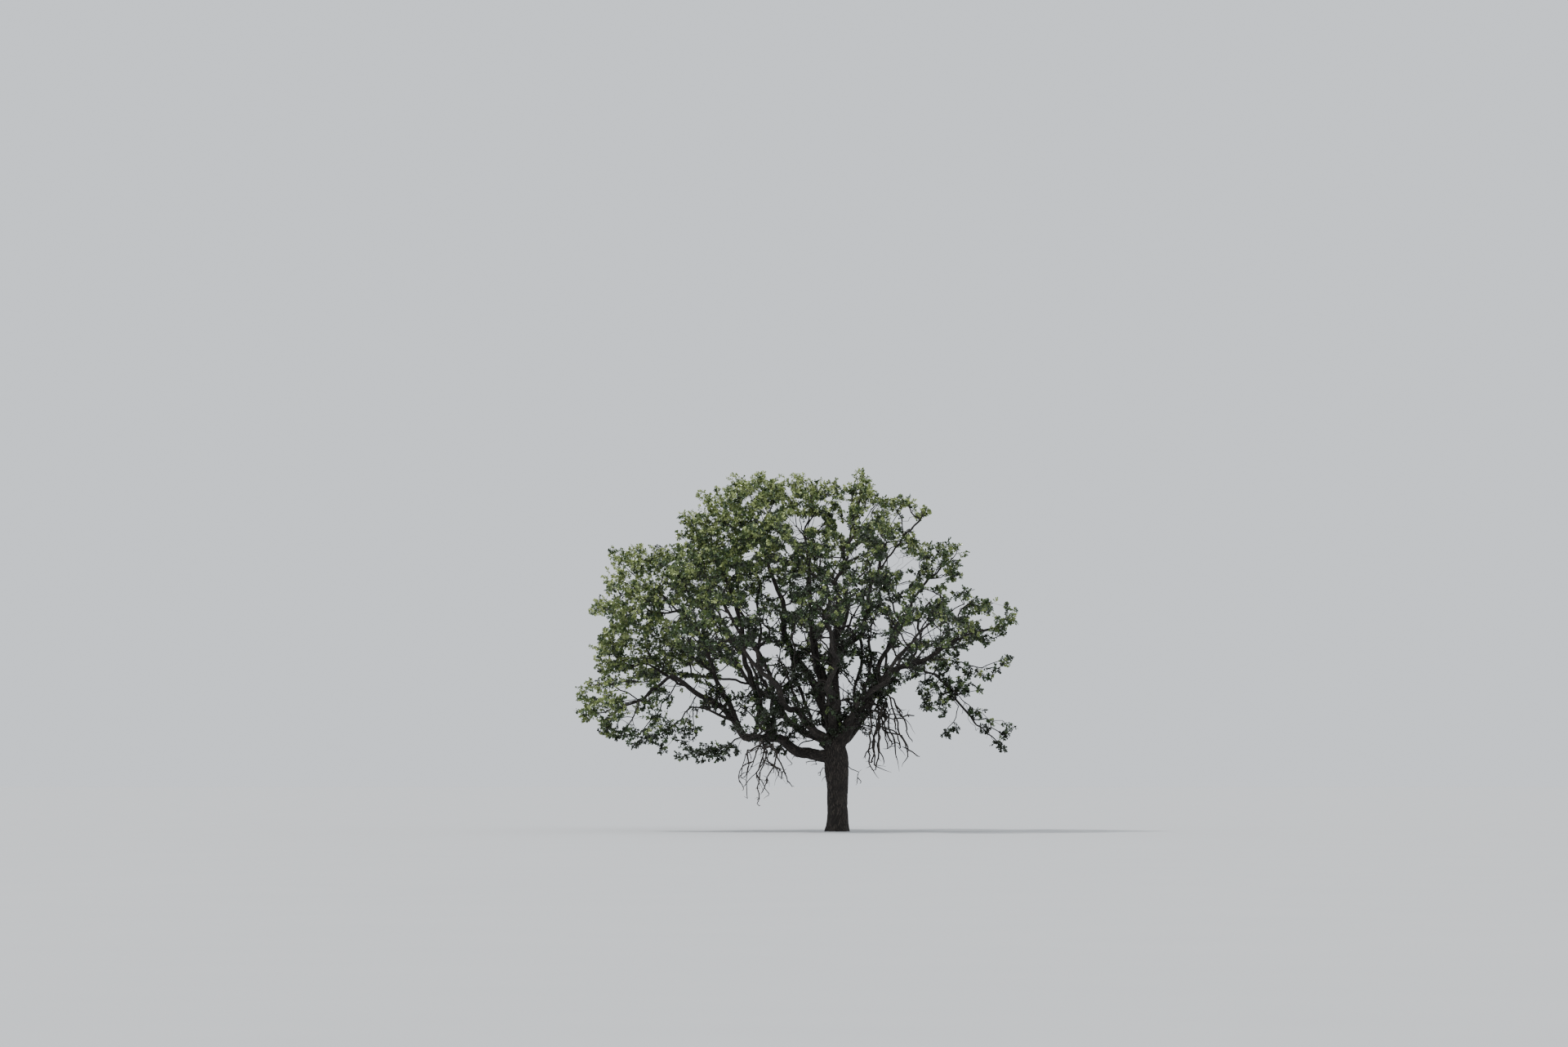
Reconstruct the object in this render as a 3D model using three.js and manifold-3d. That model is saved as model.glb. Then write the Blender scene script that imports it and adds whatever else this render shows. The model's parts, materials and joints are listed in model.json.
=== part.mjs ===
// A lone, open-grown oak: a short thick trunk, a fan of crooked boughs, and a broad domed crown in
// separate masses of foliage, with dead twigs hanging under it.
// Millimetres, +Z up. The origin is the middle of the flat cut at ground level. Places are given as
// [side, depth, height]: side is to the right and depth away from whoever looks along +Y.

import * as THREE from "three";
import { mergeVertices } from "three/addons/utils/BufferGeometryUtils.js";
import Module from "manifold-3d";

const wasm = await Module();
wasm.setup();

const CLEARANCE = 0.3; // between two solids that meet
const LIMB_GAP = 12; // a twig or leaf nearer than this to a limb is skipped
const SPACE_GAP = 8; // kept by each mass on its side of the border with the next

// The trunk: the course of its middle line, and its radius at each height, wider under the fork.
const TRUNK = {
  course: [
    [0, 0, 0],
    [0, 0, 900],
    [-30, 10, 2000],
    [-105, 20, 3300],
    [-130, 0, 5200],
  ],
  radii: [
    { height: 0, radius: 352 },
    { height: 320, radius: 316 },
    { height: 1200, radius: 298 },
    { height: 2000, radius: 345 },
    { height: 2700, radius: 262 },
    { height: 3600, radius: 205 },
    { height: 5200, radius: 120 },
  ],
  sides: 14,
  rings: 12,
  buttresses: 5, // low ribs of the root flare
  buttressDepth: 0.1, // share of the radius, at the ground
  buttressHeight: 420,
};

// Each bough leaves its parent at a height on the trunk, or at a share of the way along another
// bough. It has a slope in degrees and a radius at its start and at its tip.
const BOUGHS = {
  low_left: { from: "trunk", at: 2080, tip: [-4750, -250, 4450], slopes: [2, 34], radii: [172, 60] },
  left_rising: { from: "low_left", at: 0.56, tip: [-4550, 50, 6300], slopes: [62, 48], radii: [84, 45] },
  left_fringe: { from: "low_left", at: 0.6, tip: [-4150, -1150, 3520], slopes: [14, -8], radii: [52, 28] },
  low_fringe: { from: "low_left", at: 0.26, tip: [-2600, -1850, 2760], slopes: [12, -6], radii: [54, 28] },
  upper_left: { from: "low_left", at: 0.36, tip: [-3200, 250, 7250], slopes: [60, 72], radii: [108, 50] },
  top_left: { from: "trunk", at: 2850, tip: [-2150, -150, 8050], slopes: [58, 74], radii: [138, 50] },
  top_middle: { from: "trunk", at: 3650, tip: [-880, 200, 8150], slopes: [66, 82], radii: [112, 50] },
  leader: { from: "trunk", at: 5060, tip: [150, -150, 8100], slopes: [84, 78], radii: [104, 48] },
  top_right: { from: "trunk", at: 4750, tip: [1250, 150, 7950], slopes: [48, 76], radii: [92, 46] },
  right: { from: "trunk", at: 2220, tip: [3250, -50, 5380], slopes: [66, 22], radii: [168, 54] },
  right_rising: { from: "right", at: 0.36, tip: [2150, 350, 6650], slopes: [66, 70], radii: [92, 45] },
  right_drooping: { from: "right", at: 0.68, tip: [3350, -700, 3780], slopes: [4, -58], radii: [50, 26] },
  front_left: { from: "trunk", at: 2480, tip: [-2700, -2800, 5150], slopes: [28, 46], radii: [132, 52] },
  front_left_rising: { from: "front_left", at: 0.52, tip: [-3250, -1750, 6450], slopes: [64, 52], radii: [72, 42] },
  front: { from: "trunk", at: 2700, tip: [-250, -3400, 5700], slopes: [40, 44], radii: [122, 50] },
  front_upper: { from: "trunk", at: 4150, tip: [-350, -1850, 7000], slopes: [50, 66], radii: [92, 46] },
  front_right: { from: "trunk", at: 2560, tip: [1900, -2550, 5150], slopes: [46, 42], radii: [118, 48] },
  back_left: { from: "trunk", at: 2330, tip: [-2850, 2650, 4850], slopes: [22, 44], radii: [132, 52] },
  back_left_rising: { from: "back_left", at: 0.5, tip: [-2900, 1850, 6550], slopes: [64, 64], radii: [76, 42] },
  back: { from: "trunk", at: 2620, tip: [-700, 3550, 5300], slopes: [36, 42], radii: [122, 50] },
  back_upper: { from: "trunk", at: 4000, tip: [250, 1950, 6950], slopes: [50, 66], radii: [92, 46] },
  back_right: { from: "trunk", at: 2440, tip: [1850, 2600, 4950], slopes: [32, 42], radii: [120, 48] },
};
const BOUGH_SIDES = 7;
const BOUGH_RINGS = 7;
const BEND_REACH = [0.38, 0.34]; // how far the two end slopes hold, as shares of the span
const CROOK = 0.035; // sideways wander of a bough, as a share of its span
const COLLAR = 0.3; // widening of a bough where it leaves its parent

// The masses of foliage, each carried by the tip of a bough or by a place a little before it.
const MASSES = {
  low_left_tip: { bough: "low_left", middle: [-6080, -200, 3650], half: [1480, 1350, 1130] },
  left_lower: { bough: "low_left", at: 0.84, middle: [-5750, 750, 5200], half: [1480, 1500, 1020] },
  left_middle: { bough: "left_rising", middle: [-5600, -600, 6350], half: [1500, 1500, 1000] },
  left_shoulder: { bough: "left_rising", at: 0.84, middle: [-5400, 350, 7350], half: [1360, 1500, 960] },
  upper_left: { bough: "upper_left", middle: [-3420, 350, 8330], half: [1260, 1650, 1420] },
  top_left: { bough: "top_left", middle: [-2350, -450, 9080], half: [1400, 1650, 1220] },
  top_middle: { bough: "top_middle", middle: [-900, 450, 9150], half: [1300, 1650, 1160] },
  top: { bough: "leader", middle: [250, -350, 9080], half: [1000, 1150, 1150] },
  top_sprig: { bough: "leader", at: 0.84, middle: [700, 600, 9900], half: [400, 460, 700] },
  top_right: { bough: "top_right", middle: [1400, 350, 8750], half: [1080, 1500, 1080] },
  right_peak: { bough: "top_right", at: 0.84, middle: [2200, -350, 8600], half: [640, 950, 880] },
  right_shoulder: { bough: "right_rising", middle: [2680, 350, 7480], half: [1050, 1400, 1080] },
  right_tip: { bough: "right", middle: [4080, 0, 6020], half: [1120, 1250, 920] },
  right_sprig: { bough: "right", at: 0.84, middle: [4280, -300, 4660], half: [700, 600, 440] },
  right_low: { bough: "right_drooping", middle: [2750, -850, 4150], half: [950, 850, 680] },
  right_lowest: { bough: "right_drooping", at: 0.84, middle: [4180, -800, 2920], half: [980, 750, 780] },
  left_fringe: { bough: "left_fringe", middle: [-4800, -1600, 2850], half: [1060, 900, 540] },
  low_fringe: { bough: "low_fringe", middle: [-3620, -2350, 2300], half: [1080, 750, 480] },
  fork_sprouts: { bough: "low_fringe", at: 0.5, middle: [-1780, -1400, 3250], half: [620, 650, 500] },
  front_left: { bough: "front_left", middle: [-3300, -3700, 5900], half: [1650, 1600, 1250] },
  front_left_upper: { bough: "front_left_rising", middle: [-3850, -2050, 7400], half: [1500, 1600, 1200] },
  front: { bough: "front", middle: [-450, -4200, 6450], half: [1650, 1500, 1200] },
  front_upper: { bough: "front_upper", middle: [-1500, -2450, 8150], half: [1650, 1600, 1250] },
  front_right_upper: { bough: "front_upper", at: 0.84, middle: [1000, -2200, 7950], half: [1400, 1500, 1150] },
  front_right: { bough: "front_right", middle: [2350, -3250, 5850], half: [1500, 1500, 1150] },
  right_front: { bough: "front_right", at: 0.84, middle: [3050, -1500, 6600], half: [950, 1050, 900] },
  back_left: { bough: "back_left", middle: [-3600, 3500, 5550], half: [1650, 1600, 1300] },
  left_back: { bough: "back_left", at: 0.84, middle: [-4800, 2000, 4850], half: [1250, 1250, 950] },
  back_left_upper: { bough: "back_left_rising", middle: [-3550, 2300, 7400], half: [1600, 1600, 1250] },
  back: { bough: "back", middle: [-800, 4450, 6050], half: [1700, 1500, 1350] },
  back_upper: { bough: "back_upper", middle: [-800, 2550, 8150], half: [1650, 1600, 1250] },
  back_right_upper: { bough: "back_upper", at: 0.84, middle: [1550, 2350, 7550], half: [1450, 1500, 1150] },
  back_right: { bough: "back_right", middle: [2300, 3450, 5600], half: [1550, 1500, 1250] },
  right_back: { bough: "back_right", at: 0.84, middle: [3350, 1700, 6050], half: [1050, 1150, 950] },
};
// Dead twigs that hang below the crown and have no leaves.
const DEAD_TWIGS = {
  dead_twigs_left: { bough: "low_fringe", at: 0.68, middle: [-2050, -2000, 1750], half: [800, 600, 880] },
  dead_twigs_right: { bough: "right", at: 0.4, middle: [1500, -500, 2550], half: [750, 600, 1000] },
};

// Stems and twigs are three-sided.
const STEM_SHARE = 0.8; // radius of a mass's stem against the tip of its bough
const SIDE_STEM_SHARE = 0.65; // the same for a stem that leaves its bough before the tip
const STEM_SHORT = 0.35; // how far short of the heart of its mass a stem ends
const HEART_LIFT = -0.25; // of the heart over the middle of the mass, in half heights
const DEAD_HEART_LIFT = 0.6;
const TWIG_TIP_RADIUS = 13;
const SIDE_TWIG_SHARE = 0.45; // radius of a side twig at its root, against the twig that it leaves
const TWIG_REACH = 0.68; // share of the space that the ends of the leafy twigs keep to
const DEAD_TWIG_REACH = 0.98;
const DEAD_TWIG_COUNT = 16;
const PATH_PULL = 0.4; // how much a short way back to the bough counts when a twig picks its fork

// Leaf blades: each stands for a spray of leaves. Lengths go by the mean half size of the mass.
const BLADES = 560; // tried on the whole crown
const BLADES_A_TWIG = 4;
const BLADE_TRIES = 40;
const BLADE_LENGTH = [0.57, 0.94];
const BLADE_WIDTH = 0.62; // against its length
const BLADE_THICKNESS = 0.05; // against its length
const BLADE_GAP = 12; // kept between two blades
const BLADE_SPREAD = 1.2; // how far blades turn from straight outwards
const SIMPLIFY = 5; // the most that a surface moves when fused twigs and blades are simplified

const BARK = { color: "#4b443d", roughness: 0.95, metalness: 0 };
const FOLIAGE = { color: "#5d6a3c", roughness: 0.5, metalness: 0 };
const DEAD_WOOD = { color: "#6a6055", roughness: 0.9, metalness: 0 };

// Numbers from 0 to 1 that come out the same in every run.
function seededRandom(seed) {
  let state = seed;
  return () => {
    state = (1664525 * state + 1013904223) % 4294967296;
    return state / 4294967296;
  };
}

function randomDirection(random) {
  const rise = random() * 2 - 1;
  const turn = random() * 2 * Math.PI;
  const level = Math.sqrt(1 - rise * rise);
  return new THREE.Vector3(level * Math.cos(turn), level * Math.sin(turn), rise);
}

// A closed solid from a geometry, by its shared corners alone.
function solidOf(geometry) {
  geometry.deleteAttribute("normal");
  geometry.deleteAttribute("uv");
  const merged = mergeVertices(geometry, 1e-3);
  return new wasm.Manifold(
    new wasm.Mesh({
      numProp: 3,
      vertProperties: merged.getAttribute("position").array,
      triVerts: new Uint32Array(merged.index.array),
    }),
  );
}

// A solid cut clear of the others: its largest piece, with any hollow sealed inside it filled.
function cutClear(solid, others) {
  const pieces = others.reduce((rest, other) => rest.subtract(other), solid).decompose();
  return pieces.reduce((best, piece) => (piece.volume() > best.volume() ? piece : best));
}

function meshOf(name, solid, finish) {
  const { vertProperties, triVerts } = solid.getMesh();
  const geometry = new THREE.BufferGeometry();
  geometry.setAttribute("position", new THREE.BufferAttribute(vertProperties, 3));
  geometry.setIndex(new THREE.BufferAttribute(triVerts, 1));
  geometry.computeVertexNormals();
  const mesh = new THREE.Mesh(geometry, new THREE.MeshStandardMaterial(finish));
  mesh.name = name;
  return mesh;
}

// A cylinder bent through a row of points, with a radius for each ring and angle round it, and
// grown all over by a margin.
function bentCylinder(points, radiusAt, sides, margin = 0) {
  const rings = points.length - 1;
  const geometry = new THREE.CylinderGeometry(1, 1, 1, sides, rings);
  const tangents = points.map((_, i) =>
    points[Math.min(i + 1, rings)].clone().sub(points[Math.max(i - 1, 0)]).normalize(),
  );
  const normals = [new THREE.Vector3(0, 1, 0).projectOnPlane(tangents[0]).normalize()];
  for (const tangent of tangents.slice(1))
    normals.push(normals.at(-1).clone().projectOnPlane(tangent).normalize());
  const binormals = normals.map((normal, i) => tangents[i].clone().cross(normal));
  const position = geometry.getAttribute("position");
  for (let i = 0; i < position.count; i++) {
    const ring = Math.round((position.getY(i) + 0.5) * rings);
    const [x, z] = [position.getX(i), position.getZ(i)];
    const radius = radiusAt(ring, Math.atan2(z, x)) + margin;
    const point = points[ring].clone();
    if (ring === 0) point.addScaledVector(tangents[0], -margin);
    if (ring === rings) point.addScaledVector(tangents[rings], margin);
    point.addScaledVector(normals[ring], x * radius).addScaledVector(binormals[ring], -z * radius);
    position.setXYZ(i, point.x, point.y, point.z);
  }
  return geometry;
}

// A limb has a course, a radius for each share of the way, and a solid grown by a margin.
function makeTrunk() {
  const curve = new THREE.CatmullRomCurve3(TRUNK.course.map((place) => new THREE.Vector3(...place)));
  const profile = new THREE.SplineCurve(TRUNK.radii.map((r) => new THREE.Vector2(r.height, r.radius)));
  const steps = profile.getSpacedPoints(200);
  const radiusAt = (along) => {
    const { z } = curve.getPointAt(along);
    return (steps.find((step) => step.x >= z) ?? steps.at(-1)).y;
  };
  const points = curve.getSpacedPoints(TRUNK.rings);
  const ribbed = (ring, angle) => {
    const fade = Math.exp(-points[ring].z / TRUNK.buttressHeight);
    const rib = TRUNK.buttressDepth * fade * Math.cos(TRUNK.buttresses * angle);
    return radiusAt(ring / TRUNK.rings) * (1 + rib);
  };
  const solid = (margin) => solidOf(bentCylinder(points, ribbed, TRUNK.sides, margin));
  return { curve, radiusAt, solid };
}

// The share of the way along a rising course that is at a height.
function shareAtHeight(curve, height) {
  let [low, high] = [0, 1];
  while (high - low > 1e-6) {
    const middle = (low + high) / 2;
    if (curve.getPointAt(middle).z < height) low = middle;
    else high = middle;
  }
  return low;
}

// A crooked course from a start to a tip, with a slope at each end.
function crookedCurve(start, tip, slopes, random) {
  const span = start.distanceTo(tip);
  const level = tip.clone().sub(start).setZ(0).normalize();
  const [leave, arrive] = slopes.map((degrees) => {
    const angle = THREE.MathUtils.degToRad(degrees);
    return level.clone().multiplyScalar(Math.cos(angle)).setZ(Math.sin(angle));
  });
  const bow = new THREE.CubicBezierCurve3(
    start,
    start.clone().addScaledVector(leave, span * BEND_REACH[0]),
    tip.clone().addScaledVector(arrive, -span * BEND_REACH[1]),
    tip,
  );
  const points = bow.getSpacedPoints(6);
  const wander = () => (random() - 0.5) * 2 * CROOK * span;
  for (const point of points.slice(1, -1)) point.add(new THREE.Vector3(wander(), wander(), wander()));
  return new THREE.CatmullRomCurve3(points);
}

// A bough starts on its parent's middle line and tapers to its tip.
function makeBough(row, limbs, random) {
  const parent = limbs.get(row.from);
  const share = row.from === "trunk" ? shareAtHeight(parent.curve, row.at) : row.at;
  const start = parent.curve.getPointAt(share);
  const curve = crookedCurve(start, new THREE.Vector3(...row.tip), row.slopes, random);
  const radiusAt = (along) => {
    const taper = THREE.MathUtils.lerp(...row.radii, along ** 0.8);
    return taper * (1 + COLLAR * Math.exp(-along * 9));
  };
  const points = curve.getSpacedPoints(BOUGH_RINGS);
  const ringRadius = (ring) => radiusAt(ring / BOUGH_RINGS);
  const solid = (margin) => solidOf(bentCylinder(points, ringRadius, BOUGH_SIDES, margin));
  return { curve, radiusAt, solid };
}

// Straight stretches of a limb, for measuring how near something comes to it.
function stretchesOf(limb) {
  const count = 14;
  return Array.from({ length: count }, (_, i) => {
    const [from, to] = [i / count, (i + 1) / count];
    return {
      line: new THREE.Line3(limb.curve.getPointAt(from), limb.curve.getPointAt(to)),
      radius: Math.max(limb.radiusAt(from), limb.radiusAt(to)),
    };
  });
}

// The mean half size of a mass.
function meanHalf(mass) {
  return Math.cbrt(mass.half[0] * mass.half[1] * mass.half[2]);
}

// Whether a point is in the space of a mass: its own ellipsoid, up to flat borders with the others.
function spaceOf(mass, masses) {
  const bordersOf = (m) => ({
    middle: new THREE.Vector3(...m.middle),
    weight: ((m.half[0] + m.half[1] + m.half[2]) / 3) ** 2,
  });
  const own = bordersOf(mass);
  const half = new THREE.Vector3(...mass.half);
  const others = masses.filter((m) => m !== mass).map(bordersOf);
  return (point) => {
    if (point.clone().sub(own.middle).divide(half).length() > 1) return false;
    const reach = point.distanceToSquared(own.middle) - own.weight;
    return others.every((other) => {
      const border = 2 * SPACE_GAP * other.middle.distanceTo(own.middle);
      return reach + border < point.distanceToSquared(other.middle) - other.weight;
    });
  };
}

// The stem of a mass: from its bough to short of the heart, with three joints in the mass's space.
function makeStem(name, mass, limbs, masses) {
  const dead = name in DEAD_TWIGS;
  const bough = limbs.get(mass.bough);
  const radius = (mass.at ? SIDE_STEM_SHARE : STEM_SHARE) * bough.radiusAt(1);
  const start = bough.curve.getPointAt(mass.at ?? 1);
  if (!mass.at) start.addScaledVector(bough.curve.getTangentAt(1), -radius);
  const inSpace = spaceOf(mass, masses);
  const end = new THREE.Vector3(...mass.middle);
  end.z += (dead ? DEAD_HEART_LIFT : HEART_LIFT) * mass.half[2];
  const steps = Array.from({ length: 40 }, (_, i) => start.clone().lerp(end, i / 40));
  const entry = steps.find(inSpace);
  end.lerp(entry, STEM_SHORT);
  const joints = [0.3, 0.65, 1].map((share) => entry.clone().lerp(end, share));
  return { name, dead, mass, radius, inSpace, joints, line: new THREE.Line3(start, end) };
}

// A point in the space of a mass, the furthest of a few from those already taken.
function openPoint(stem, taken, reach, random) {
  const [middle, half] = [stem.mass.middle, stem.mass.half].map((v) => new THREE.Vector3(...v));
  const points = Array.from({ length: 14 }, () =>
    randomDirection(random)
      .multiplyScalar(reach * Math.cbrt(0.25 + 0.75 * random()))
      .multiply(half)
      .add(middle),
  ).filter(stem.inSpace);
  const room = (point) => Math.min(1e6, ...taken.map((other) => other.distanceTo(point)));
  return points.sort((a, b) => room(b) - room(a))[0];
}

// The forks of a mass, from its stem out: each new end joins the fork that gives it a short way.
function growForks(stem, count, isClear, random) {
  const { start } = stem.line;
  const forks = [{ point: start, path: 0, load: 0 }];
  for (const point of stem.joints)
    forks.push({ point, path: start.distanceTo(point), load: 0, parent: forks.at(-1) });
  const ends = [];
  for (let tries = 0; ends.length < count && tries < count * 3; tries++) {
    const end = openPoint(stem, ends, stem.dead ? DEAD_TWIG_REACH : TWIG_REACH, random);
    if (end) ends.push(end);
  }
  ends.sort((a, b) => a.distanceTo(start) - b.distanceTo(start));
  for (const end of ends) {
    const way = (fork) => fork.point.distanceTo(end) + PATH_PULL * fork.path;
    const parent = forks
      .slice(1)
      .sort((a, b) => way(a) - way(b))
      .find((fork) => isClear(new THREE.Line3(fork.point, end), TWIG_TIP_RADIUS * 2));
    if (!parent) continue;
    forks.push({ point: end, path: parent.path + parent.point.distanceTo(end), load: 0, parent });
    for (let fork = forks.at(-1); fork; fork = fork.parent) fork.load += 1;
  }
  return forks;
}

// Rows of forks that each make one bent twig: the heaviest twig at a fork carries the row on.
function rowsOf(forks) {
  const rows = [];
  const carry = (row) => {
    const onward = forks.filter((fork) => fork.parent === row.at(-1)).sort((a, b) => b.load - a.load);
    if (onward.length === 0) rows.push(row);
    else carry([...row, onward[0]]);
    for (const side of onward.slice(1)) carry([row.at(-1), side]);
  };
  carry([forks[0]]);
  return rows;
}

function twigSolid(row, stem, forks) {
  const share = (fork) => Math.sqrt(fork.load / forks[0].load);
  const radii = row.map((fork) => Math.max(TWIG_TIP_RADIUS, stem.radius * share(fork)));
  if (row[0] !== forks[0]) radii[0] = Math.min(radii[1], SIDE_TWIG_SHARE * radii[0]);
  const points = row.map((fork) => fork.point);
  return solidOf(bentCylinder(points, (ring) => radii[ring], 3));
}

// A leaf blade: a flattened tetrahedron with its upper edge across it and its lower edge from root
// to tip. Also gives the corners besides the root.
function makeBlade(root, direction, length, random) {
  const face = randomDirection(random).add(new THREE.Vector3(0, 0, 0.8));
  const across = direction.clone().cross(face).normalize();
  const up = across.clone().cross(direction);
  const tip = root.clone().addScaledVector(direction, length);
  const corners = [-1, 1].map((side) =>
    root.clone().lerp(tip, 0.5).addScaledVector(across, (side * length * BLADE_WIDTH) / 2),
  );
  const quarter = direction.clone().multiplyScalar(length / 4);
  const breadth = across.multiplyScalar((length * BLADE_WIDTH) / 4);
  const drop = up.multiplyScalar((-length * BLADE_THICKNESS) / 2);
  const shape = new THREE.Matrix4()
    .makeBasis(quarter.clone().sub(breadth), quarter.clone().add(breadth), drop)
    .setPosition(root.clone().lerp(tip, 0.5).sub(drop));
  const solid = () => solidOf(new THREE.TetrahedronGeometry(Math.sqrt(3)).applyMatrix4(shape));
  return { tip, corners: [tip, ...corners], solid };
}

// Blades that could grow from a root, the one with its tip furthest from the other tips first.
function bladeChoices(stem, fork, root, tips, isClear, random) {
  const middle = new THREE.Vector3(...stem.mass.middle);
  const size = meanHalf(stem.mass);
  const way = fork.point.clone().sub(fork.parent.point).normalize();
  const outward = fork.point.clone().sub(middle).normalize().addScaledVector(way, 0.4);
  const choices = [];
  for (let tries = 0; tries < BLADE_TRIES; tries++) {
    const direction = outward.clone().addScaledVector(randomDirection(random), BLADE_SPREAD).normalize();
    const length = size * THREE.MathUtils.lerp(...BLADE_LENGTH, random());
    const blade = makeBlade(root, direction, length, random);
    if (!blade.corners.every(stem.inSpace)) continue;
    if (!isClear(new THREE.Line3(root, blade.tip), (length * BLADE_WIDTH) / 2)) continue;
    const room = Math.min(size, ...tips.map((other) => other.distanceTo(blade.tip)));
    choices.push({ ...blade, score: room + 0.5 * blade.tip.distanceTo(middle) });
  }
  return choices.sort((a, b) => b.score - a.score);
}

// The twigs of a mass, fused with the blades that fit on them.
function makeMass(stem, twigCount, isClear, random) {
  const forks = growForks(stem, twigCount, isClear, random);
  const twigs = rowsOf(forks).map((row) => ({ row, solid: twigSolid(row, stem, forks) }));
  const blades = [];
  const tips = [];
  for (const fork of stem.dead ? [] : forks.slice(1 + stem.joints.length)) {
    const otherTwigs = twigs.filter(({ row }) => !row.includes(fork)).map(({ solid }) => solid);
    for (let i = 0; i < BLADES_A_TWIG; i++) {
      const root = fork.point.clone().lerp(fork.parent.point, 0.03 + 0.22 * i);
      for (const choice of bladeChoices(stem, fork, root, tips, isClear, random)) {
        const solid = choice.solid();
        const near = [...blades, ...otherTwigs].some((other) => solid.minGap(other, BLADE_GAP) < BLADE_GAP);
        if (near) continue;
        blades.push(solid);
        tips.push(choice.tip);
        break;
      }
    }
  }
  const wood = twigs.map(({ solid }) => solid);
  return wasm.Manifold.union([...wood, ...blades]).simplify(SIMPLIFY);
}

const group = new THREE.Group();

// Limbs: each is cut clear of those before it.
const woodRandom = seededRandom(7);
const limbs = new Map([["trunk", makeTrunk()]]);
const grown = [limbs.get("trunk").solid(CLEARANCE)];
group.add(meshOf("trunk", limbs.get("trunk").solid(0), BARK));
for (const [name, row] of Object.entries(BOUGHS)) {
  const bough = makeBough(row, limbs, woodRandom);
  limbs.set(name, bough);
  group.add(meshOf(name + "_bough", cutClear(bough.solid(0), grown), BARK));
  grown.push(bough.solid(CLEARANCE));
}

// Masses: the number of twigs in each goes by its size.
const rows = { ...MASSES, ...DEAD_TWIGS };
const masses = Object.values(rows);
const stems = Object.entries(rows).map(([name, mass]) => makeStem(name, mass, limbs, masses));
const stretches = [...limbs.values()].flatMap(stretchesOf);
const crownSize = Object.values(MASSES).reduce((sum, mass) => sum + meanHalf(mass) ** 2, 0);
stems.forEach((stem, i) => {
  const isClear = (line, radius) =>
    [...stretches, ...stems].every((other) => {
      const room = other.radius + radius + LIMB_GAP;
      return other === stem || line.distanceSqToLine3(other.line) > room ** 2;
    });
  const share = (BLADES * meanHalf(stem.mass) ** 2) / crownSize;
  const count = stem.dead ? DEAD_TWIG_COUNT : Math.max(3, Math.round(share / BLADES_A_TWIG));
  const solid = cutClear(makeMass(stem, count, isClear, seededRandom(101 + i * 17)), grown);
  if (stem.dead) group.add(meshOf(stem.name, solid, DEAD_WOOD));
  else group.add(meshOf(stem.name + "_mass", solid, FOLIAGE));
});

export default group;
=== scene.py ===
# A lone, open-grown oak, dressed over its CAD frame: furrowed bark on the trunk and boughs, twigs and lobed
# leaves that grow on from the boughs into every mass, and dead twigs that hang under the crown.
# Metres, +Z up, origin at the middle of the foot. Places are (side, depth, height), as in the part's source.
import json
import math

import bpy
import numpy as np
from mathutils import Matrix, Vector

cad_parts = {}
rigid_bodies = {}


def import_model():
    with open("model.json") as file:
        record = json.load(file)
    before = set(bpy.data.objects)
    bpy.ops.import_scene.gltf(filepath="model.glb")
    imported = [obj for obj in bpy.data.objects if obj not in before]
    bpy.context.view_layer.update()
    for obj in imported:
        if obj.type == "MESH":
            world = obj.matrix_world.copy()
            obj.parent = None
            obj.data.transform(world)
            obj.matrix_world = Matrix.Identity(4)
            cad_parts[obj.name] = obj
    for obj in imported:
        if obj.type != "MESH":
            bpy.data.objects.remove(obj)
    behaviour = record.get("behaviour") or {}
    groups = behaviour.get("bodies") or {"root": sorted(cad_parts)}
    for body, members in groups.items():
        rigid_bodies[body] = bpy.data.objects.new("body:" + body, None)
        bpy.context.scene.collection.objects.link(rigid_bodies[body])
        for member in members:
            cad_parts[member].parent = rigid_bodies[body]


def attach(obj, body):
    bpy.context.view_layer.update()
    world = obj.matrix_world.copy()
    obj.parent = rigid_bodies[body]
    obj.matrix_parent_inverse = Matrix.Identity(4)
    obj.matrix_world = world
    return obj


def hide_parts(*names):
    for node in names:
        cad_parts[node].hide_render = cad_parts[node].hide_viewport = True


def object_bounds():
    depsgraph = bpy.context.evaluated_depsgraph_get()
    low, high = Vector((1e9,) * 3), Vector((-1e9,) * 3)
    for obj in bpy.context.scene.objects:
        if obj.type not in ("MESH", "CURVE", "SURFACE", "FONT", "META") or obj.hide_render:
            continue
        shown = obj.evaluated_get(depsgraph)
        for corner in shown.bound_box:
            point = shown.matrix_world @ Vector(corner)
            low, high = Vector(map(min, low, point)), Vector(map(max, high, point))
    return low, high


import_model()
cadBox = [list(corner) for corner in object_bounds()]
bpy.ops.object.select_all(action="DESELECT")


def fromHex(text):
    channels = [int(text[i:i + 2], 16) / 255 for i in (1, 3, 5)]
    return [c / 12.92 if c <= 0.04045 else ((c + 0.055) / 1.055) ** 2.4 for c in channels] + [1]


def addNode(tree, kind, settings=None, links=None):
    node = tree.nodes.new(kind)
    for name, value in (settings or {}).items():
        if isinstance(name, int) or name in node.inputs:
            node.inputs[name].default_value = value
        else:
            setattr(node, name, value)
    for name, source in (links or {}).items():
        tree.links.new(source, node.inputs[name])
    return node


def newMaterial(name, viewColour):
    material = bpy.data.materials.new(name)
    material.use_nodes = True
    material.diffuse_color = fromHex(viewColour)
    material.node_tree.nodes.clear()
    return material, material.node_tree


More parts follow.
